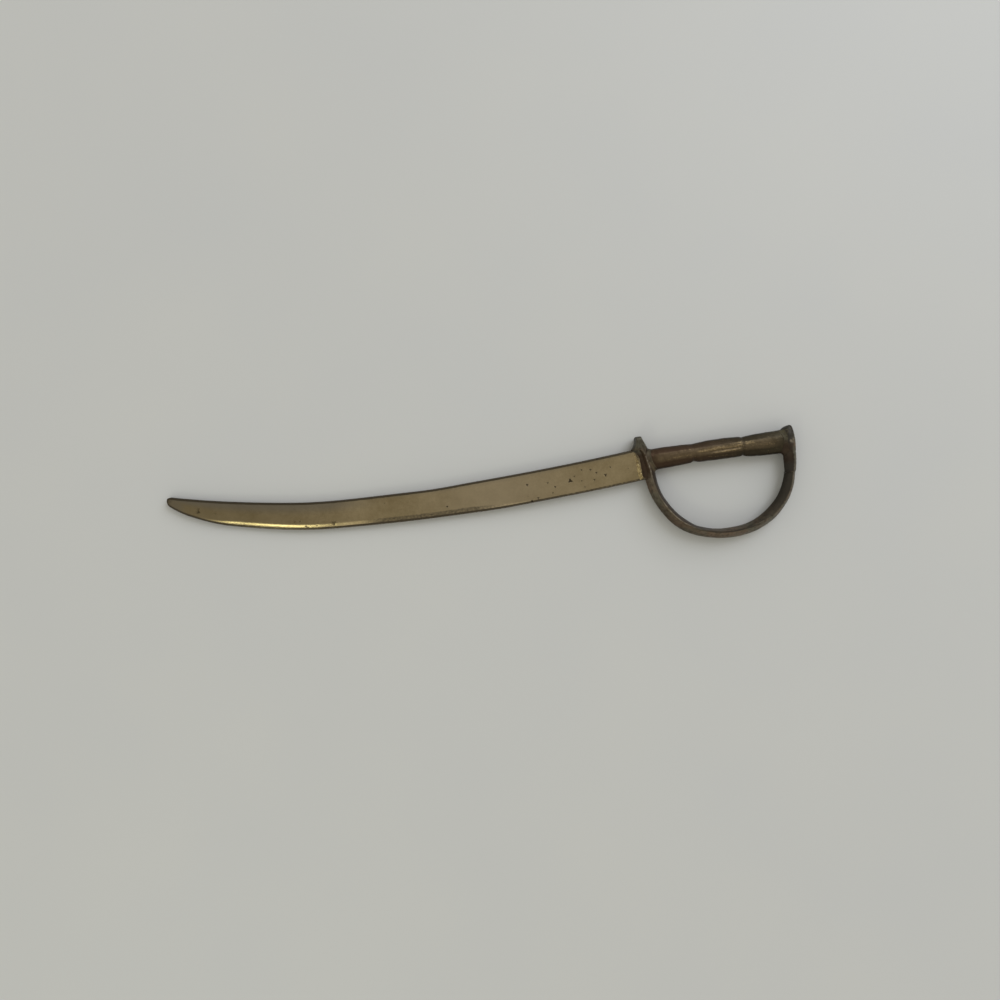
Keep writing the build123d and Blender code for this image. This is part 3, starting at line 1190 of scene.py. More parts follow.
    def bow(self) -> list[Station]:
        """Cross-sections round the bow to its joint.

        Returns:
            The stations in order.
        """
        plan = self.plan
        result = []
        joint = -plan.joint_drop - plan.joint_film / 2
        ends = {side: math.tau + plan.turn_at(side, joint) for side in (1, 0, -1)}
        for step in range(self.bow_steps + 1):
            share = step / self.bow_steps
            turns = {side: blend(math.pi, ends[side], share) for side in (1, 0, -1)}
            degrees = {side: math.degrees(turn) for side, turn in turns.items()}
            stray = sum(swell.at(degrees[1]) for swell in self.outer_swells)
            thick = sum(swell.at(degrees[-1]) for swell in self.inner_swells)
            inset = self.ridge_inset(share) - self.ridge_follow * stray
            outer, heart, inner = (
                plan.on_circle(side, turns[side], way)
                for side, way in ((1, -stray), (0, inset), (-1, thick))
            )
            result.append(Station(
                heart, outer - heart, inner - heart, plan.middle,
                flat=blend(self.cross_flat, self.bow_flat, ease(0.0, self.cross_run, share)),
                wear=self.bow_wear.at(share) + self.bow_rub.at(degrees[0]),
                # The inner flank takes painted shade from the loop, less at its bottom
                shade_and_soot_out=max(self.outer_dark.at(share), self.outer_stain.at(degrees[1])),
                shade_and_soot_in=self.inner_shade_and_soot.at(share) - self.inner_lit.at(degrees[-1]),
                soot_ridge=math.prod(fade.at(share) for fade in self.ridge_soot),
                olive=self.bow_olive.at(share),
            ))
        return result

    def stations(self) -> list[Station]:
        """Cross-sections from the quillon's tip down and round to the bow's joint."""
        result = self.cross() + self.bow()
        return result + [Station.closed(result[-1].heart)]

    def flank_x(self, y: float, z: float, side: int) -> float:
        """Place of the cross's front or rear flank, for what runs into it.

        Args:
            y: Level above the grip's axis.
            z: Height above the table.
            side: 1 for the front, -1 for the rear.

        Returns:
            Place along the grip's axis.
        """
        plan = self.plan
        edge = self.front_x(y) if side > 0 else self.rear_x(y)
        crest = plan.ridge_x(y)
        if y < plan.circle(side)[0].y:
            edge = plan.near_x(side, y)
        if y < plan.ridge_level:
            crest = plan.near_x(0, y)
        lift = (z - plan.middle) / plan.middle
        return crest + (edge - crest) * self.band.side_at(lift, self.cross_flat)


@dataclass
class Pommel(Casting):
    """The bow's upper leg and the beak above the grip."""

    node: str = "pommel"
    hollows: tuple[Hollows, ...] = (Hollows(0.12, 3.0, 5.3), Hollows(0.08, 0.9, 6.1))
    step: float = 0.4
    leg_swell: float = 0.4
    leg_swell_run: float = 0.8
    root: Place = (45.75, 3.6)
    slope: Place = (47.2, 4.85)
    peak: Place = (48.75, 5.0)
    corner: Place = (49.55, 4.95)
    shoulder: Place = (49.6, 3.9)
    root_share: float = 0.8
    root_power: int = 3
    crown_share: float = 0.55
    crown_power: float = 2.5
    head_roundness: Fade = Fade(-0.15, 0.35, FLANK_ROUNDNESS, 2.2)
    flat: float = 0.96
    leg_steps: int = 40
    head_steps: int = 100
    head_crowding: float = 1.5
    # Painted shade with soot on the leg's inner flank, which faces the loop
    leg_shade_and_soot: Fade = Fade(0.6, 1.0, 1.0, 0.86)
    leg_olive: Fade = Fade(0.3, 0.8, 0.9, 0.0)
    rub: Swell = Swell(0.42, 0.07, 0.75)
    # Darker back flank, painted shade with soot on the front flank, painted shade toward the outline
    back_dark: Fade = Fade(0.47, 0.7, 0.2, 0.9)
    front_shade_and_soot: Fade = Fade(0.15, 0.6, 0.86, 0.92)
    edge_shade: Fade = Fade(0.3, 0.7, 0.0, 0.6)
    ridge_soot: Fade = Fade(0.3, 0.5, 0.0, 0.8)
    head_olive: Fade = Fade(0.2, 0.5)

    def lift(self, place: Place) -> Vector:
        """Point of the plan at mid-height."""
        return Vector((*place, self.plan.middle))

    def rise(self, share: float) -> float:
        """Height of the head's section above its middle at a share of the way to the peak."""
        crown = max(0.0, (share - self.crown_share) / (1 - self.crown_share))
        return self.plan.middle * math.sqrt(1 - crown ** self.crown_power)

    def edge(self, start: Vector, turn: Place, bend: Place, share: float) -> Vector:
        """Point on the head's front or back outline, which rounds over to the peak.

        Args:
            start: Where the outline leaves the leg.
            turn: Where it begins to round over.
            bend: Corner that pulls it round.
            share: Share of the way to the peak.

        Returns:
            The point at mid-height.
        """
        knee = self.lift(turn)
        if share < self.root_share:
            part = share / self.root_share
            x = blend(start.x, knee.x, part ** self.root_power)
            return Vector((x, blend(start.y, knee.y, part), knee.z))
        part = (share - self.root_share) / (1 - self.root_share)
        pull = self.lift(bend)
        return knee.lerp(pull, part).lerp(pull.lerp(self.lift(self.peak), part), part)

    def stations(self) -> list[Station]:
        """Cross-sections from the bow's joint up to the beak.

        Returns:
            The stations in order.
        """
        plan = self.plan
        joint = -plan.joint_drop + plan.joint_film / 2
        starts = {side: plan.turn_at(side, joint) for side in (1, 0, -1)}
        result = []
        for row in range(self.leg_steps + 1):
            share = row / self.leg_steps
            swell = self.leg_swell * ease(0.0, self.leg_swell_run, share)
            outer, heart, inner = (
                plan.on_circle(side, blend(starts[side], 0.0, share), way)
                for side, way in ((1, self.step), (0, 0.0), (-1, swell))
            )
            result.append(Station(
                heart, outer - heart, inner - heart, plan.middle,
                flat=self.flat,
                # The leg's inner flank takes painted shade with soot
                shade_and_soot_in=self.leg_shade_and_soot.at(share),
                olive=self.leg_olive.at(share),
            ))
        result.insert(0, Station.closed(result[0].heart))
        peak = self.lift(self.peak)
        for row in range(1, self.head_steps + 1):
            share = 1 - (1 - row / self.head_steps) ** self.head_crowding
            back = self.edge(outer, self.shoulder, self.corner, share)
            front = self.edge(inner, self.root, self.slope, share)
            middle = Vector((blend(heart.x, peak.x, share), blend(heart.y, peak.y, share), plan.middle))
            result.append(Station(
                middle, back - middle, front - middle, self.rise(share),
                flat=self.flat,
                wear=self.rub.at(share),
                roundness=self.head_roundness.at(share),
                # Darker back flank, painted shade with soot on the front flank, painted shade toward the
                # outline
                shade_and_soot_out=self.back_dark.at(share),
                shade_and_soot_in=self.front_shade_and_soot.at(share),
                outline_shade=self.edge_shade.at(share),
                soot_ridge=self.ridge_soot.at(share),
                olive=self.head_olive.at(share),
            ))
        return result

    def flank_x(self, y: float, z: float) -> float:
        """Place of the pommel's front flank, for the grip that runs into it.

        Args:
            y: Level above the grip's axis.
            z: Height above the table.

        Returns:
            Place along the grip's axis.
        """
        plan = self.plan
        foot = plan.circle(-1)[0].y
        part = min(1.0, max(0.0, (y - foot) / (self.root[1] - foot)))
        share = part * self.root_share
        edge = blend(plan.face_x[1] - self.leg_swell, self.root[0], part ** self.root_power)
        crest = blend(plan.loop_x + plan.ridge_radius, self.peak[0], share)
        lift = (z - plan.middle) / self.rise(share)
        return crest + (edge - crest) * self.band.side_at(lift, self.flat, self.head_roundness.at(share))


@dataclass(frozen=True)
class Notch:
    """A cut round the grip between two barrels, deeper at some sides than at others.

    Attributes:
        width: How far it reaches along the grip.
        above: Depth at the upper side.
        below: Depth at the lower side.
        face: Depth at the two faces.
    """

    width: float
    above: float
    below: float
    face: float

    def share(self, away: float) -> float:
        """Share of the depth at a distance along the grip."""
        return math.exp(-((away / self.width) ** 2))


@dataclass
class Grip(Casting):
    """Three barrels in a row, with a notch between each two."""

    node: str = "grip"
    hollows: tuple[Hollows, ...] = (Hollows(0.2, 4.0, 9.1), Hollows(0.06, 1.0, 4.4))
    band: RidgedBand = field(default_factory=lambda: RidgedBand(96, 0.16))
    front_length: float = 13.3
    middle_length: float = 16.5
    above: Halves = ((3.24, 3.48, 3.22), (3.26, 3.7, 3.36), (3.3, 3.62, 3.7))
    below: Halves = ((3.9, 3.6, 3.05), (3.2, 3.34, 3.28), (3.5, 4.08, 4.1))
    half_depth: float = 2.5
    cuts: tuple[Notch, Notch] = (Notch(0.8, 0.05, 0.4, 0.03), Notch(0.6, 0.15, 0.3, 0.01))
    steps: int = 320
    roundness: float = 1.8
    flat: float = 0.955
    start_x: float = 1.2
    end_x: float = 47.4
    bright_begin: Fade = Fade(1.0, 5.0)
    bright_end: float = 39.0
    notch_dull: float = 0.4
    rear: Fade = Fade(36.0, 44.0)
    rear_olive: float = 0.7
    # Painted shade on the upper flank, from the front barrel to the rear, and on the lower flank, which
    # faces the loop
    front_shade_and_soot: float = 0.95
    rear_shade_and_soot: float = 0.75
    lower_shade: float = 0.9
    upper_face: Fade = Fade(0.3, 1.4)
    groove: Swell = Swell(0.0, 0.3, 0.2)
    groove_from: float = -0.6
    groove_to: float = -0.1
    groove_begin: Fade = Fade(1.5, 8.0)
    groove_end: Fade = Fade(-1.6, 0.0, 1.0, 0.0)
    upper_rub: Swell = Swell(0.8, 0.7, 0.6)
    upper_rub_begin: Fade = Fade(0.3, 2.0)
    upper_rub_end: Fade = Fade(1.5, 7.0, 1.0, 0.0)
    lower_rub: Swell = Swell(-0.5, 0.22, 0.7)
    crease_rub: Swell = Swell(0.2, 0.3, 0.5)
    crease_begin: Fade = Fade(7.5, 9.5)
    crease_end: Fade = Fade(14.5, 16.0, 1.0, 0.0)
    broad_rub: Swell = Swell(0.2, 1.1, 0.12)
    notch_gold: float = 0.5

    @property
    def notches(self) -> tuple[float, float]:
        """Places of the two notches along the grip."""
        first = self.plan.face_x[0] + self.front_length
        return first, first + self.middle_length

    def half_width(self, x: float, halves: Halves) -> float:
        """Half of the grip's width to one side, without its notches.

        Args:
            x: Place along the grip.
            halves: Half widths of each barrel at its head, belly and tail.

        Returns:
            The half width there.
        """
        ends = (0.0, *self.notches, self.plan.loop_x + self.plan.ridge_radius)
        row = sum(x > end for end in ends[1:-1])
        head, belly, tail = halves[row]
        share = (x - ends[row]) / (ends[row + 1] - ends[row])
        barrel = head * (1 - share) * (1 - 2 * share) + 4 * belly * share * (1 - share)
        return barrel + tail * share * (2 * share - 1)

    def point(self, x: float, turn: float) -> Vector:
        """Point on the smooth grip.

        Args:
            x: Place along the grip.
            turn: Angle round it, in radians.

        Returns:
            The point.
        """
        side, lift = self.band.shares(turn, self.flat, self.roundness)
        reach = self.half_width(x, self.above if side > 0 else self.below)
        return Vector((x, reach * side, self.plan.middle + self.half_depth * lift))

    def stations(self) -> list[Station]:
        """Cross-sections from inside the guard to inside the pommel.

        Returns:
            The stations in order.
        """
        result = []
        for step in range(self.steps + 1):
            x = blend(self.start_x, self.end_x, step / self.steps)
            heart = Vector((x, 0, self.plan.middle))
            above = self.half_width(x, self.above)
            below = self.half_width(x, self.below)
            rise = self.half_depth
            for at, cut in zip(self.notches, self.cuts):
                share = cut.share(x - at)
                above -= share * cut.above
                below -= share * cut.below
                rise -= share * cut.face
            bright = self.bright_begin.at(x) * (1 - ease(self.bright_end, self.end_x, x))
            dull = self.notch_dull * self.cuts[1].share(x - self.notches[1])
            rear = self.rear.at(x)
            result.append(Station(
                heart, Vector((0, above, 0)), Vector((0, -below, 0)), rise,
                flat=self.flat,
                wear=bright * (1 - dull),
                roundness=self.roundness,
                # Painted shade on both flanks
                shade_and_soot_out=blend(self.front_shade_and_soot, self.rear_shade_and_soot, rear),
                shade_and_soot_in=self.lower_shade,
                olive=self.rear_olive * rear,
            ))
        return [Station.closed(result[0].heart), *result, Station.closed(result[-1].heart)]

    def carve(self, mesh: Mesh) -> None:
        """Cut the groove along the middle barrel and mark where the patina is rubbed through.

        Args:
            mesh: The grip's mesh.
        """
        first, second = self.notches
        gold = []
        for vertex in mesh.vertices:
            x, y, z = vertex.co / MM
            up = self.upper_face.at(z - self.plan.middle)
            # The groove runs a little askew
            offset = y - blend(self.groove_from, self.groove_to, (x - first) / (second - first))
            within = self.groove_begin.at(x - first) * self.groove_end.at(x - second)
            vertex.co.z -= self.groove.at(offset) * within * up * MM
            after = self.upper_rub_begin.at(x - first) * self.upper_rub_end.at(x - second)
            rubbed = max(
                self.upper_rub.at(offset) * after,
                self.lower_rub.at(offset) * within,
                self.crease_rub.at(offset) * self.crease_begin.at(x) * self.crease_end.at(x),
                self.broad_rub.at(offset),
            )
            gold.append(up * rubbed * (1 - self.notch_gold * self.cuts[1].share(x - second)))
        mark(mesh, "gold", gold)


def bowed(start: Vector, corner: Vector, end: Vector, steps: int) -> list[Vector]:
    """Points on a hollow curve that leaves both walls of a corner smoothly.

    Args:
        start: First point, on one wall.
        corner: Where the walls meet.
        end: Last point, on the other wall.
        steps: Number of stretches.

    Returns:
        The points in order.
    """
    result = []
    for step in range(steps + 1):
        share = step / steps
        result.append(start.lerp(corner, share).lerp(corner.lerp(end, share), share))
    return result


@dataclass
class GripFillet:
    """Hollow run of metal where the grip meets the guard or the pommel."""

    plan: HiltPlan
    end: GripEnd
    grip: Grip
    holder: KnuckleGuard | Pommel
    finish: PatinatedCastBrass
    reach: float = 1.2
    shade_and_soot: Fade = Fade(-0.8, 1.4, 0.0, 0.62)
    olive: Fade = Fade(-0.8, 1.4, 0.0, 0.5)
    top_share: float = 0.92
    sunk: float = 0.04
    wall_sunk: float = 0.17
    turns: int = 120
    curve_steps: int = 10
    meeting_rounds: int = 8

    def wall_x(self, y: float, z: float) -> float:
        """Place of the wall that the grip runs into.

        Args:
            y: Level above the grip's axis.
            z: Height above the table.

        Returns:
            Place along the grip's axis.
        """
        if self.end is GripEnd.REAR:
            return self.holder.flank_x(y, z)
        return self.holder.flank_x(y, z, -1)

    def ring(self, turn: float) -> list[Vector]:
        """Cut through the fillet at one place round the grip.

        Args:
            turn: Angle round the grip, in radians.

        Returns:
            Points of the cut, from the grip to the wall and back inside.
        """
        rear = self.end is GripEnd.REAR
        toward = 1 if rear else -1
        x = self.plan.face_x[1 if rear else 0]
        for _ in range(self.meeting_rounds):
            meet = self.grip.point(x, turn)
            x = self.wall_x(meet.y, meet.z)
        meet = self.grip.point(x, turn)
        outward = (meet - Vector((x, 0, self.plan.middle))).normalized()
        begin = self.grip.point(x - toward * self.reach, turn) - outward * self.sunk
        grown = meet + outward * self.reach
        highest = self.top_share * self.plan.middle
        lift = max(-highest, min(highest, grown.z - self.plan.middle))
        level = min(grown.y, self.holder.root[1]) if rear else grown.y
        end = Vector((0, level, self.plan.middle + lift))
        end.x = self.wall_x(end.y, end.z) + toward * self.wall_sunk
        inside = meet - outward * self.reach + Vector((toward * self.reach / 2, 0, 0))
        return bowed(begin, meet, end, self.curve_steps) + [inside]

    def build(self) -> Piece:
        """Make the fillet and give it the hilt's patina.

        Returns:
            The finished piece.
        """
        rings = [self.ring(math.tau * step / self.turns) for step in range(self.turns)]
        mesh = skin_rings([rings], looped=True)
        # Painted shade with soot in the corner where the grip meets the wall
        for name, fade in (("shade_and_soot", self.shade_and_soot), ("olive", self.olive)):
            mark(mesh, name, [fade.at(vertex.co.y / MM) for vertex in mesh.vertices])
        place = self.end.value
        node = f"grip_{place}_braze"
        return add_piece(f"grip_fillet_{place}", mesh, self.finish.material(), node)


@dataclass
class RootFillet:
    """Dark hollow run of metal where the guard's front stands on the blade's faces."""

    plan: HiltPlan
    guard: KnuckleGuard
    finish: PatinatedCastBrass
    face_height: float = 1.0
    low_end: float = -6.6
    high_end: float = 3.7
    low_x: float = -1.75
    high_x: float = -2.25
    flare: float = 0.23
    flare_level: float = 0.5
    taper: Fade = Fade(0.0, 0.12)
    wander: float = 0.18
    wander_rate: float = 1.4
    wander_seed: float = 7.0
    least_reach: float = 0.1
    climb: float = 0.9
    least_climb: float = 0.2
    sunk: float = 0.03
    root_depth: float = 0.3
    olive: Fade = Fade(1.2, 3.4)
    shade_and_soot: Fade = Fade(1.6, 3.6, 0.9, 0.5)
    steps: int = 70
    curve_steps: int = 8

    def rings(self, face: int) -> list[list[Vector]]:
        """Cuts through the fillet on one face of the blade.

        Args:
            face: 1 for the upper face, -1 for the lower.

        Returns:
            The cuts from the cutting edge to the spine.
        """
        result = []
        for step in range(self.steps + 1):
            share = step / self.steps
            y = blend(self.low_end, self.high_end, share)
            z = self.plan.middle + face * self.face_height
            meet = Vector((self.guard.flank_x(y, z, 1), y, z))
            wander = self.wander * noise.noise(Vector((0.0, self.wander_rate * y, self.wander_seed)))
            taper = self.taper.at(share)
            reach = self.flare * max(0.0, y - self.flare_level) ** 2
            front = min(meet.x - self.least_reach, blend(self.low_x, self.high_x, share) + wander - reach)
            begin = Vector((blend(meet.x, front, taper), y, z - face * self.sunk))
            top = z + face * self.climb * blend(self.least_climb, 1.0, taper)
            end = Vector((self.guard.flank_x(y, top, 1) + self.sunk, y, top))
            inside = Vector((end.x + self.root_depth, y, z - face * self.root_depth))
            result.append(bowed(begin, meet, end, self.curve_steps) + [inside])
        return result

    def build(self) -> Piece:
        """Make the fillet on both faces and give it the hilt's patina.

        Returns:
            The finished piece.
        """
        mesh = skin_rings([self.rings(1), [ring[::-1] for ring in self.rings(-1)]])
        # Painted shade with soot in the corner, heavier toward the cutting edge
        for name, fade in (("olive", self.olive), ("shade_and_soot", self.shade_and_soot)):
            mark(mesh, name, [fade.at(vertex.co.y / MM) for vertex in mesh.vertices])
        return add_piece("guard_root_fillet", mesh, self.finish.material())


@dataclass
class BrazeRun:
    """Ragged run of braze on the blade's faces, in front of the guard."""

    plan: HiltPlan
    finish: BrazeFiller
    face_height: float = 1.0
    top: Place = (-3.5, 2.5)
    bottom: Place = (-2.5, -5.9)
    lumps: int = 110
    lump_size: float = 0.42
    lump_height: float = 0.09
    least_share: float = 0.35
    upper_share: float = 0.5
    spread: float = 0.55
    melt: float = 0.07
    melt_band: float = 0.3
    melt_level: float = 0.1
    seed: int = 11

    def tree(self) -> Tree:
        """Build the tree that melts scattered lumps into one run.

        Returns:
            The node tree, with named inputs for its sizes.
        """
        whole = ("Lumps", "Seed")
        sizes = (
            "Lump Size", "Lump Height", "Least Share", "Upper Share", "Upper Level", "Lower Level",
            "Spread", "Melt", "Melt Band", "Melt Level",
        )
        inputs = {"Path": "Geometry", **dict.fromkeys(whole, "Int"), **dict.fromkeys(sizes, "Float")}
        tree = new_tree("braze_run", {**inputs, "Finish": "Material"}, "Run")
        given = add_node(tree, "NodeGroupInput").node.outputs
        path = add_node(tree, "GeometryNodeMeshToCurve", {"Mesh": given["Path"]})
        points = add_node(tree, "GeometryNodeCurveToPoints", {"Curve": path, "Count": given["Lumps"]})
        width = add_node(tree, "ShaderNodeCombineXYZ", {"X": given["Spread"], "Y": given["Spread"]})
        stray = add_node(tree, "FunctionNodeRandomValue", {
            "Min": scaled(tree, width, -1.0), "Max": width, "Seed": given["Seed"],
        }, data_type="FLOAT_VECTOR")
        spot = add_node(tree, "GeometryNodeInputPosition")
        level = add_node(tree, "ShaderNodeSeparateXYZ", {"Vector": spot}).node.outputs["Y"]
        fuller = ramp(tree, level, (given["Upper Level"], given["Lower Level"]), given["Upper Share"])
        points = add_node(tree, "GeometryNodeSetPosition", {
            "Geometry": points, "Offset": scaled(tree, stray, fuller),
        })
        size = add_node(tree, "ShaderNodeCombineXYZ", {
            "X": given["Lump Size"], "Y": given["Lump Size"], "Z": given["Lump Height"],
        })
        scale = add_node(tree, "FunctionNodeRandomValue", {
            "Min": scaled(tree, size, given["Least Share"]), "Max": size, "Seed": given["Seed"],
        }, data_type="FLOAT_VECTOR")
        lump = add_node(tree, "GeometryNodeMeshIcoSphere", {"Radius": 1.0, "Subdivisions": 3})
        run = add_node(tree, "GeometryNodeInstanceOnPoints", {
            "Points": points, "Instance": lump, "Scale": scaled(tree, scale, fuller),
        })
        run = add_node(tree, "GeometryNodeRealizeInstances", {"Geometry": run})
        run = add_node(tree, "GeometryNodeMeshToVolume", {
            "Mesh": run, "Voxel Size": given["Melt"], "Interior Band Width": given["Melt Band"],
        }, resolution_mode="VOXEL_SIZE")
        run = add_node(tree, "GeometryNodeVolumeToMesh", {"Volume": run, "Threshold": given["Melt Level"]})
        end_tree(tree, run, given["Finish"], "Run")
        return tree

    def build(self) -> Piece:
        """Lay the run on both faces and dress it.

        Returns:
            The finished piece.
        """
        material = self.finish.material()
        points = []
        for face in (1, -1):
            z = self.plan.middle + face * self.face_height
            points.extend(Vector((*end, z)) * MM for end in (self.top, self.bottom))
        path = bpy.data.meshes.new("path")
        path.from_pydata(points, [(0, 1), (2, 3)], [])
        mesh = grow(path, self.tree(), {
            "Lumps": self.lumps,
            "Seed": self.seed,
            "Lump Size": self.lump_size * MM,
            "Lump Height": self.lump_height * MM,
            "Least Share": self.least_share,
            "Upper Share": self.upper_share,
            "Upper Level": self.top[1] * MM,
            "Lower Level": self.bottom[1] * MM,
            "Spread": self.spread * MM,
            "Melt": self.melt * MM,
            "Melt Band": self.melt_band * MM,
            "Melt Level": self.melt_level,
            "Finish": material,
        })
        return add_piece("braze_run", mesh, material, "blade_braze")


@dataclass
class JointLine:
    """Thin line of braze between the bow and the pommel."""

    plan: HiltPlan
    finish: BrazeFiller
    outer_inset: float = 0.5
    inner_inset: float = 0.08
    band: RidgedBand = field(default_factory=RidgedBand)

    def build(self) -> Piece:
        """Make the line and dress it.

        Returns:
            The finished piece.
        """
        plan = self.plan
        stations = []
        for side_of_joint in (-1, 1):
            level = -plan.joint_drop + side_of_joint * plan.joint_film / 2
            outer, heart, inner = (
                plan.on_circle(side, plan.turn_at(side, level), inset)
                for side, inset in ((1, self.outer_inset), (0, 0.0), (-1, self.inner_inset))
            )
            stations.append(Station(heart, outer - heart, inner - heart, plan.middle))
        first, last = (Station.closed(station.heart) for station in stations)
        material = self.finish.material()
        mesh = self.band.mesh([first, *stations, last], material)
        return add_piece("bow_joint_line", mesh, material, "bow_braze")


@dataclass(frozen=True)
class ArcChain:
    """A line of arcs that run smoothly into each other, all bending to the right.

    Attributes:
        start: First point.
        heading: Direction at the start, in radians.
        stretches: Length and radius of each arc.
    """

    start: tuple[float, float]
    heading: float
    stretches: tuple[tuple[float, float], ...]

    @property
    def length(self) -> float:
        """Length of the whole line."""
        return sum(length for length, _ in self.stretches)

    def at(self, distance: float) -> tuple[Vector, float]:
        """Point and heading at a distance along the line.

        Args:
            distance: From the start.

        Returns:
            Point in the plane, and direction in radians.
        """
        x, y = self.start
        heading = self.heading
        for length, radius in self.stretches:
            part = min(length, distance)
            after = heading - part / radius
            x += radius * (math.sin(heading) - math.sin(after))
            y += radius * (math.cos(after) - math.cos(heading))
            heading = after
            distance -= part
            if distance <= 0:
                break
        return Vector((x, y)), heading


@dataclass(frozen=True)
class Dent:
    """A three-cornered pit or nick in the blade's upper face.

    Attributes:
        x: Place along the blade.
        y: Place across the blade.
        radius: Its mean radius.
        depth: How deep it is.
        dark: How dark its floor is, from 0 to 1.
        corner: Direction of one corner, in degrees.
        pull: How far the corners reach beyond the mean radius, as a share of it.
        wall: How its depth dies away, in shares of its radius.
        darkening: How its darkness dies away, in shares of its radius.
    """

    x: float
    y: float
    radius: float
    depth: float
    dark: float = 0.9
    corner: float = 30.0
    pull: float = 0.3
    wall: Fade = Fade(0.35, 1.1, 1.0, 0.0)
    darkening: Fade = Fade(0.7, 1.2, 1.0, 0.0)

    def at(self, x: float, y: float) -> tuple[float, float]:
        """Depth and darkness at a place on the blade.

        Args:
            x: Place along the blade.
            y: Place across the blade.

        Returns:
            Depth in millimetres, and 0 to 1 for the dark floor.
        """
        away = math.hypot(x - self.x, y - self.y)
        if away > 2 * self.radius:
            return 0.0, 0.0
        angle = math.atan2(y - self.y, x - self.x) - math.radians(self.corner)
        share = away / (self.radius * (1 + self.pull * math.cos(3 * angle)))
        return self.depth * self.wall.at(share), self.dark * self.darkening.at(share)


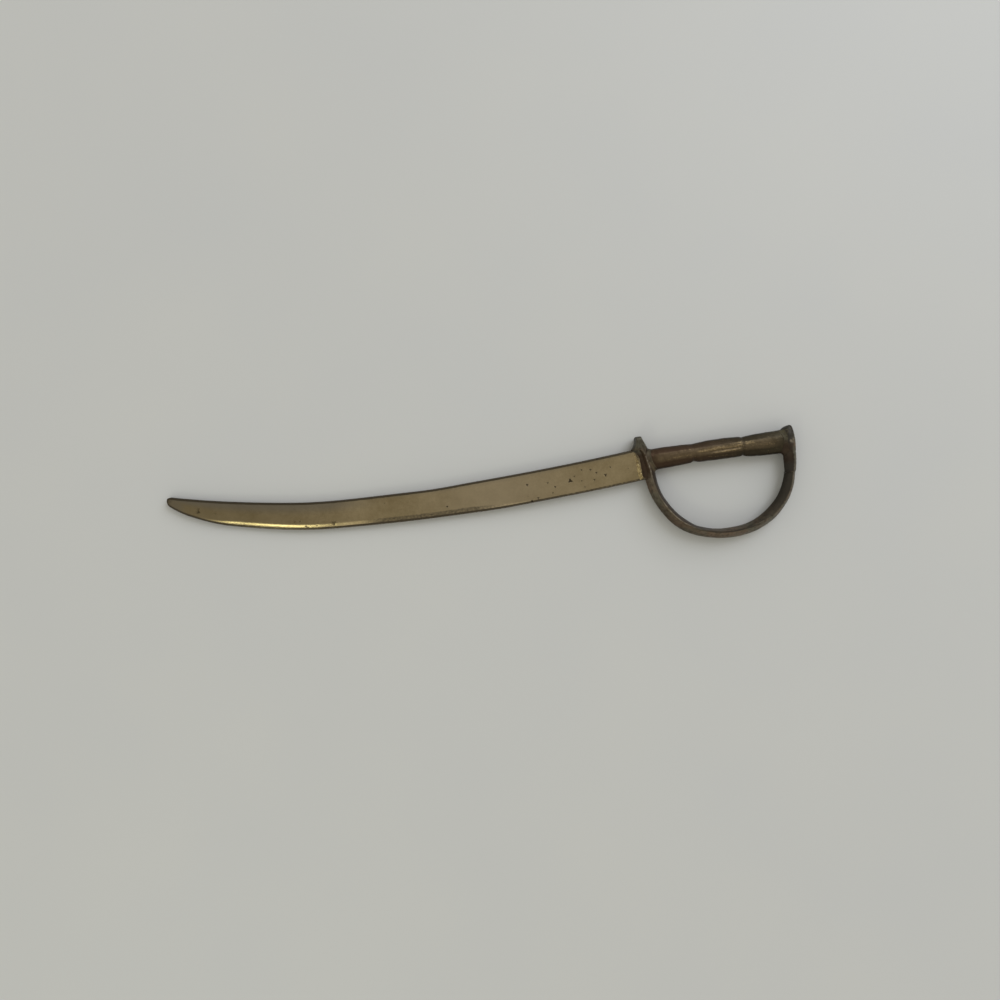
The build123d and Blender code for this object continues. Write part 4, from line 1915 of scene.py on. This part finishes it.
@dataclass
class Blade:
    """The curved blade, with a bevelled cutting edge, a rounded spine and the tang behind it."""

    plan: HiltPlan
    finish: WornSheetBrass
    thickness: float = 2.0
    root_width: float = 10.6
    root_centre: float = -1.1
    root_slope: float = 5.0
    near_length: float = 67.8
    middle_length: float = 40.0
    far_length: float = 32.0
    point_length: float = 18.8
    belly_length: float = 22.2
    spine_radii: tuple[float, float, float] = (1028.0, 420.0, 305.0)
    edge_radii: tuple[float, float, float, float] = (786.0, 464.0, 216.0, 55.0)
    sag: Swell = Swell(-113.0, 16.0, 0.38)
    waist: Swell = Swell(-71.0, 9.0, 0.22)
    belly: Swell = Swell(-50.0, 11.0, 0.2)
    edge_flat: float = 0.9
    edge_round: float = 0.65
    bevel_width: float = 1.9
    bevel_least: float = 0.75
    bevel_bulge: float = 0.3
    bevel_begin: Fade = Fade(-153.0, -136.0)
    bevel_end: Fade = Fade(-62.0, -32.0, 1.0, 0.0)
    spine_round: float = 0.65
    narrow_width: float = 2.5
    least_width: float = 0.02
    closed_width: float = 0.001
    nose_round: float = 0.7
    nose_trim: Fade = Fade(0.0, 3.5, 0.33, 0.0)
    nose_lift: Fade = Fade(0.0, 1.7, 0.42, 0.0)
    nose_belly: Swell = Swell(-155.0, 3.6, 0.22)
    nose_full: Fade = Fade(0.0, 1.7)
    # Painted shade on the rounded edges and round the point
    edge_rim: Fade = Fade(0.57, 0.95, 1.0, 0.0)
    edge_rim_share: Fade = Fade(-15.0, -60.0, 0.72, 1.0)
    spine_rim: Fade = Fade(0.495, 1.1, 1.0, 0.0)
    nose_rims: tuple[Fade, ...] = (Fade(0.5, 1.1, 0.6, 0.0), Fade(1.0, 4.5, 0.6, 0.0))
    # Painted shade on the bevel, from X -104 toward the root, where it faces the darker side of the room
    darkening: Fade = Fade(-104.0, -88.0, 0.0, 0.63)
    darkening_edge: Fade = Fade(0.85, 1.3, 1.0, 0.0)
    # Painted shade in the corner where the quillon stands on the blade, toward the spine
    corner_shade: float = 0.62
    corner_shade_front: Fade = Fade(-4.5, -2.9)
    corner_shade_low: Fade = Fade(-2.5, 1.8)
    corner_shade_lean: float = 0.14
    corner_shade_level: float = 3.0
    # Painted shade: a dark line along the spine, stronger toward the point, and along the edge near the
    # point
    outline_dark: float = 0.4
    outline_width: Fade = Fade(0.3, 0.9, 1.0, 0.0)
    spine_line: Fade = Fade(-60.0, -125.0, 0.5, 1.0)
    edge_line: Fade = Fade(-125.0, -145.0)
    # Painted grey reflection of the room: toward the point on the upper half, along the spine and at the
    # nose
    far_reflection: Fade = Fade(-85.0, -108.0)
    high_reflection: Fade = Fade(0.45, 0.9)
    spine_reflection: Fade = Fade(0.2, 2.2, 0.55, 0.0)
    nose_reflection: Fade = Fade(5.0, 9.0, 0.6, 0.0)
    wiped: Swell = Swell(-50.0, 22.0, 0.5)
    tang_width: float = 3.4
    tang_thickness: float = 1.8
    tang_start: float = -2.5
    tang_end: float = 47.7
    length_steps: int = 620
    crowded_share: float = 0.1
    edge_steps: int = 6
    bevel_steps: int = 8
    face_steps: int = 34
    spine_steps: int = 8
    face_share: float = 0.4
    under_share: float = 0.5
    ripple_depth: float = 0.05
    ripple_length: float = 14.0
    ripple_seed: float = 0.5
    dents: tuple[Dent, ...] = (
        Dent(-25.85, -3.43, 0.72, 0.16, corner=95.0),
        Dent(-14.0, -3.1, 0.5, 0.12),
        Dent(-18.7, -0.7, 0.38, 0.08),
        Dent(-16.9, -2.0, 0.34, 0.08),
        Dent(-17.9, -4.2, 0.36, 0.08),
        Dent(-40.2, -2.8, 0.42, 0.1),
        Dent(-37.2, -7.6, 0.42, 0.1),
        Dent(-39.3, -8.3, 0.38, 0.08),
        Dent(-31.1, -4.7, 0.36, 0.08),
        Dent(-33.4, -3.05, 0.32, 0.07),
        Dent(-21.3, -6.1, 0.3, 0.07),
        Dent(-12.1, -0.7, 0.3, 0.07),
        Dent(-21.7, -0.3, 0.34, 0.07),
        Dent(-24.3, -2.1, 0.26, 0.06),
        Dent(-67.5, -6.2, 0.34, 0.07),
        Dent(-149.6, 3.5, 0.6, 0.06, 0.75, corner=95.0),
        Dent(-149.3, 4.4, 0.42, 0.05, 0.55),
        Dent(-143.9, 2.2, 0.4, 0.04, 0.3),
        Dent(-118.3, -4.2, 0.3, 0.04, 0.6),
        Dent(-116.6, -4.3, 0.3, 0.04, 0.6),
        Dent(-114.8, -6.2, 0.3, 0.05, 0.8),
        Dent(-114.3, -6.6, 0.26, 0.05, 0.8),
        Dent(-111.2, -6.4, 0.2, 0.04, 0.6),
        Dent(-105.5, -6.35, 0.72, 0.05, 0.6),
        Dent(-88.0, -2.2, 0.3, 0.04, 0.5),
    )

    def chain(self, edge: Edge) -> ArcChain:
        """Outline of the spine, or of the cutting edge on to the point and the spine's end.

        Args:
            edge: Which outline.

        Returns:
            The outline as arcs.
        """
        heading = math.pi + math.radians(self.root_slope)
        half = self.root_width / 2
        if edge is Edge.SPINE:
            lengths = (self.near_length, self.middle_length, self.far_length + self.point_length)
            return ArcChain((0.0, self.root_centre + half), heading, tuple(zip(lengths, self.spine_radii)))
        lengths = (self.near_length, self.middle_length, self.far_length, self.belly_length)
        belly = ArcChain((0.0, self.root_centre - half), heading, tuple(zip(lengths, self.edge_radii)))
        start, direction = belly.at(belly.length)
        spine = self.chain(Edge.SPINE)
        chord = spine.at(spine.length)[0] - start
        bend = direction - math.atan2(chord.y, chord.x) % math.tau
        radius = chord.length / (2 * math.sin(bend))
        return ArcChain(belly.start, heading, belly.stretches + ((2 * bend * radius, radius),))

    def outline(self, share: float) -> tuple[Vector, Vector, float]:
        """Both outlines at a share of the way to the point, with what the hand has bent.

        Args:
            share: Share of the way, from 0 at the root.

        Returns:
            Point on the cutting edge, point on the spine, and distance left to the point.
        """
        spine = self.chain(Edge.SPINE)
        cutting = self.chain(Edge.CUTTING)
        nose = cutting.stretches[-1][0]
        tip = cutting.length - nose / 2
        low = cutting.at(share * tip)[0]
        beyond = share * (spine.length + nose / 2) - spine.length
        high = cutting.at(cutting.length - beyond)[0] if beyond > 0 else spine.at(spine.length + beyond)[0]
        dip = self.sag.at(low.x)
        low.y -= dip + self.belly.at(low.x)
        high.y -= dip + self.waist.at(high.x)
        remain = (1 - share) * tip
        nudge = Vector((self.nose_trim.at(remain), self.nose_lift.at(remain)))
        low += nudge
        high += nudge
        low.y -= self.nose_full.at(remain) * self.nose_belly.at(low.x)
        return low, high, remain

    def section(self, width: float, remain: float, x: float) -> list[tuple[float, float, float]]:
        """Half of the blade's section, from the cutting edge to the spine.

        Args:
            width: Width of the blade there.
            remain: Distance left to the point.
            x: Place of the cutting edge along the blade.

        Returns:
            Distance from the edge, height above mid-thickness, and how much painted shade the rim takes.
        """
        size = min(1.0, width / self.narrow_width)
        nose_share = 1 - min(1.0, remain / self.nose_round)
        full = self.thickness / 2 * math.sqrt(1 - nose_share * nose_share)
        ground = self.bevel_begin.at(x) * self.bevel_end.at(x)
        flat = min(blend(self.thickness, self.edge_flat, ground) / 2, full)
        nose = self.edge_round * size
        bevel = blend(self.bevel_least, self.bevel_width, ground) * size
        back = self.spine_round * size
        points = []
        for step in range(self.edge_steps):
            turn = math.pi / 2 * step / self.edge_steps
            points.append((nose * (1 - math.cos(turn)), flat * math.sin(turn)))
        for step in range(self.bevel_steps):
            share = step / self.bevel_steps
            bulged = share + self.bevel_bulge * share * (1 - share)
            points.append((blend(nose, bevel, share), blend(flat, full, bulged)))
        for step in range(self.face_steps):
            points.append((blend(bevel, width - back, step / self.face_steps), full))
        for step in range(self.spine_steps + 1):
            turn = math.pi / 2 * step / self.spine_steps
            points.append((width - back * (1 - math.sin(turn)), full * math.cos(turn)))
        edge_share = self.edge_rim_share.at(x)
        # Painted shade on the bevel
        darkening = ground * self.darkening.at(x)
        nose_rim = sum(rim_shade.at(remain) for rim_shade in self.nose_rims)
        result = []
        for distance, height in points:
            rim_shade = max(
                self.edge_rim.at(distance) * edge_share,
                self.spine_rim.at(width - distance),
                nose_rim,
                darkening * self.darkening_edge.at(distance / bevel),
            )
            result.append((distance, height, rim_shade))
        return result

    def sink(self, x: float, y: float) -> tuple[float, float]:
        """How far the upper face lies below its plane, and how pitted it is there.

        Args:
            x: Place along the blade.
            y: Place across the blade.

        Returns:
            Depth in millimetres, and 0 to 1 for the pit's dark floor.
        """
        place = Vector((x / self.ripple_length, y / (2 * self.ripple_length), self.ripple_seed))
        depths, darks = zip(*(dent.at(x, y) for dent in self.dents))
        return self.ripple_depth * (1 - noise.noise(place)) / 2 + sum(depths), max(darks)

    def rings(self) -> tuple[list[list[Vector]], dict[str, list[float]]]:
        """Rings of points round the blade from the root to the point.

        Returns:
            The rings, and the rim shade, the pits and outline shade, the painted reflection and the wiped
            marks of all their points in order.
        """
        middle = self.plan.middle
        rings: list[list[Vector]] = []
        marks: dict[str, list[float]] = {"rim_shade": [], "pits_and_outline_shade": [], "painted_reflection": [], "wiped": []}
        for step in range(self.length_steps + 1):
            left = 1 - step / self.length_steps
            if left < self.crowded_share:
                left = left * left / self.crowded_share
            low, high, remain = self.outline(1 - left)
            across = high - low
            width = max(across.length, self.least_width)
            across = across / width if across.length > self.closed_width else Vector((0.0, 1.0))
            upper, lower = [], []
            for distance, height, rim_shade in self.section(width, remain, low.x):
                point = low + across * distance
                # Painted shade in the corner under the quillon
                lean = self.corner_shade_lean * (point.y - self.corner_shade_level)
                in_corner = self.corner_shade_front.at(point.x + lean) * self.corner_shade_low.at(point.y)
                rim_shade = max(rim_shade, self.corner_shade * in_corner)
                depth, dark = self.sink(point.x, point.y)
                fade = min(1.0, height / (self.face_share * self.thickness))
                # Painted shade line along the spine and along the edge near the point
                line = self.outline_dark * max(
                    self.spine_line.at(high.x) * self.outline_width.at(width - distance),
                    self.edge_line.at(point.x) * self.outline_width.at(distance),
                )
                # Painted grey reflection of the room
                painted_reflection = max(
                    self.far_reflection.at(point.x) * self.high_reflection.at(distance / width),
                    self.spine_reflection.at(width - distance),
                    self.nose_reflection.at(remain),
                )
                wiped = self.wiped.at(point.x)
                top = Vector((point.x, point.y, middle + height - depth * fade))
                under = Vector((point.x, point.y, middle - height + self.under_share * depth * fade))
                upper.append((top, rim_shade, max(dark * fade, line), painted_reflection, wiped))
                lower.append((under, rim_shade, line, painted_reflection, wiped))
            ring = upper + lower[-2:0:-1]
            rings.append([item[0] for item in ring])
            for place, name in enumerate(marks, 1):
                marks[name].extend(item[place] for item in ring)
        return rings, marks

    def tang(self) -> list[list[Vector]]:
        """Rings of the flat tail that runs through the grip.

        Returns:
            The rings from inside the blade's root to the pommel.
        """
        half_width = self.tang_width / 2
        half_thickness = self.tang_thickness / 2
        return [
            [Vector((x, y * half_width, self.plan.middle + z * half_thickness)) for y, z in CORNERS]
            for x in (self.tang_start, self.tang_end)
        ]

    def build(self) -> Piece:
        """Make the blade and dress it.

        Returns:
            The finished piece.
        """
        rings, marks = self.rings()
        mesh = skin_rings([rings, self.tang()])
        for name, values in marks.items():
            mark(mesh, name, values)
        return add_piece("blade_sheet", mesh, self.finish.material(), "blade")


@dataclass(frozen=True)
class Lamp:
    """One soft lamp that looks at the object.

    Attributes:
        name: Its name.
        direction: From the object to the lamp.
        distance: How far away, in metres.
        size: Width and height of its face, in metres.
        power: Watts.
        colour: Its sRGB colour.
    """

    name: str
    direction: tuple[float, float, float]
    distance: float
    size: tuple[float, float]
    power: float
    colour: str

    def hang(self, target: Vector) -> None:
        """Hang the lamp so that it looks at a target.

        Args:
            target: What it looks at, in metres.
        """
        light = bpy.data.lights.new(self.name, "AREA")
        light.shape = "RECTANGLE"
        light.size, light.size_y = self.size
        light.energy = self.power
        light.color = linear(self.colour)[:3]
        lamp = bpy.data.objects.new(self.name, light)
        direction = Vector(self.direction)
        lamp.location = target + direction.normalized() * self.distance
        lamp.rotation_euler = direction.to_track_quat("Z", "Y").to_euler()
        bpy.context.collection.objects.link(lamp)


@dataclass
class Studio:
    """Pale table top, soft lamps and the camera straight above."""

    finish: TableLaminate
    floor_reach: float = 4000.0
    land_x: float = -1.0
    point_x: float = -158.0
    point_height: float = 1.7
    camera_place: tuple[float, float, float] = (-49.84, -6.46, 253.1)
    camera_turn: float = -8.0
    focal_length: float = 27.04
    sensor_width: float = 36.0
    nearest: float = 10.0
    world_colour: str = "#f8f6f0"
    horizon_strength: float = 1.2
    zenith_strength: float = 0.44
    lamps: tuple[Lamp, ...] = (
        Lamp("edge_lamp", (-0.455, -0.632, 0.595), 0.9, (0.17, 0.14), 0.46, "#f6ffe2"),
        Lamp("cool_window", (0.6, 0.55, 0.58), 2.0, (1.4, 1.4), 20.5, "#e6eeff"),
    )

    def floor(self) -> None:
        """Lay the table top so that it touches the guard and the blade's point."""
        slope = self.point_height / (self.point_x - self.land_x)
        corners = []
        for x, y in CORNERS:
            place = x * self.floor_reach
            corners.append(Vector((place, y * self.floor_reach, slope * (place - self.land_x))) * MM)
        mesh = bpy.data.meshes.new("table_top")
        mesh.from_pydata(corners, [], [(0, 1, 2, 3)])
        mesh.materials.append(self.finish.material())
        top = bpy.data.objects.new("table_top", mesh)
        bpy.context.collection.objects.link(top)

    def world(self) -> None:
        """Fill the room with pale light, dimmer overhead where the camera is held."""
        world = bpy.data.worlds.new("room")
        world.use_nodes = True
        world.node_tree.nodes.clear()
        tree = world.node_tree
        direction = add_node(tree, "ShaderNodeTexCoord").node.outputs["Generated"]
        height = add_node(tree, "ShaderNodeSeparateXYZ", {"Vector": direction}).node.outputs["Z"]
        strength = ramp(tree, height, UNIT, self.horizon_strength, self.zenith_strength)
        sky = add_node(tree, "ShaderNodeBackground", {
            "Color": linear(self.world_colour), "Strength": strength,
        })
        add_node(tree, "ShaderNodeOutputWorld", {"Surface": sky})
        bpy.context.scene.world = world

    def camera(self) -> None:
        """Set the camera straight above, turned as the photograph is."""
        lens = bpy.data.cameras.new("camera")
        lens.lens = self.focal_length
        lens.sensor_width = self.sensor_width
        lens.clip_start = self.nearest * MM
        camera = bpy.data.objects.new("camera", lens)
        camera.location = Vector(self.camera_place) * MM
        camera.rotation_euler = (0, 0, math.radians(self.camera_turn))
        bpy.context.collection.objects.link(camera)
        bpy.context.scene.camera = camera
        bpy.context.scene.view_settings.view_transform = "Standard"

    def build(self) -> None:
        """Set up the floor, the light and the camera."""
        self.floor()
        self.world()
        for lamp in self.lamps:
            lamp.hang(Vector((*self.camera_place[:2], 0)) * MM)
        self.camera()


def main() -> None:
    """Build the letter opener, piece by piece, and its stage."""
    logging.basicConfig(level=logging.INFO, format="%(name)s: %(message)s")
    plan = HiltPlan()
    Studio(TableLaminate()).build()
    guard = KnuckleGuard(plan, PatinatedCastBrass())
    pommel = Pommel(plan, PatinatedCastBrass(
        sheltered="#352a21", moss="#37332d", rubbed="#8c806c", wear_start=1.047, roughness=0.5,
    ))
    handled = PatinatedCastBrass(
        brown="#463a2c", olive="#413d2d", burnt="#3a2a1c", sheltered="#2d2618", moss="#373123",
        rubbed="#6c5c43", gold="#a68f65",
        burnt_end=10.0, sheltered_start=34.0, ridge_wear=0.7, wear_start=0.93, streak=True,
    )
    grip = Grip(plan, handled)
    dusty = PatinatedCastBrass(brown="#594c39", olive="#544d39", roughness=0.6)
    sheltered = PatinatedCastBrass(brown="#61563f", olive="#5f5a45", sheltered="#382c22", roughness=0.5)
    rear_fillet = GripFillet(
        plan, GripEnd.REAR, grip, pommel, sheltered, reach=1.1,
        shade_and_soot=Fade(-2.4, 0.6, 0.95, 0.5), olive=Fade(-1.5, 0.8, 0.0, 0.8),
    )
    for maker in (
        Blade(plan, WornSheetBrass()),
        guard,
        pommel,
        grip,
        GripFillet(plan, GripEnd.FRONT, grip, guard, dusty),
        rear_fillet,
        RootFillet(plan, guard, PatinatedCastBrass(burnt="#372a1e")),
        BrazeRun(plan, BrazeFiller()),
        JointLine(plan, BrazeFiller(bright="#5c5548", tarnish="#4a443a", flux="#3d382f")),
    ):
        piece = maker.build()
        mesh = piece.data
        LOG.info("%s: %d vertices, %d faces", piece.name, len(mesh.vertices), len(mesh.polygons))


if __name__ == "__main__":
    main()
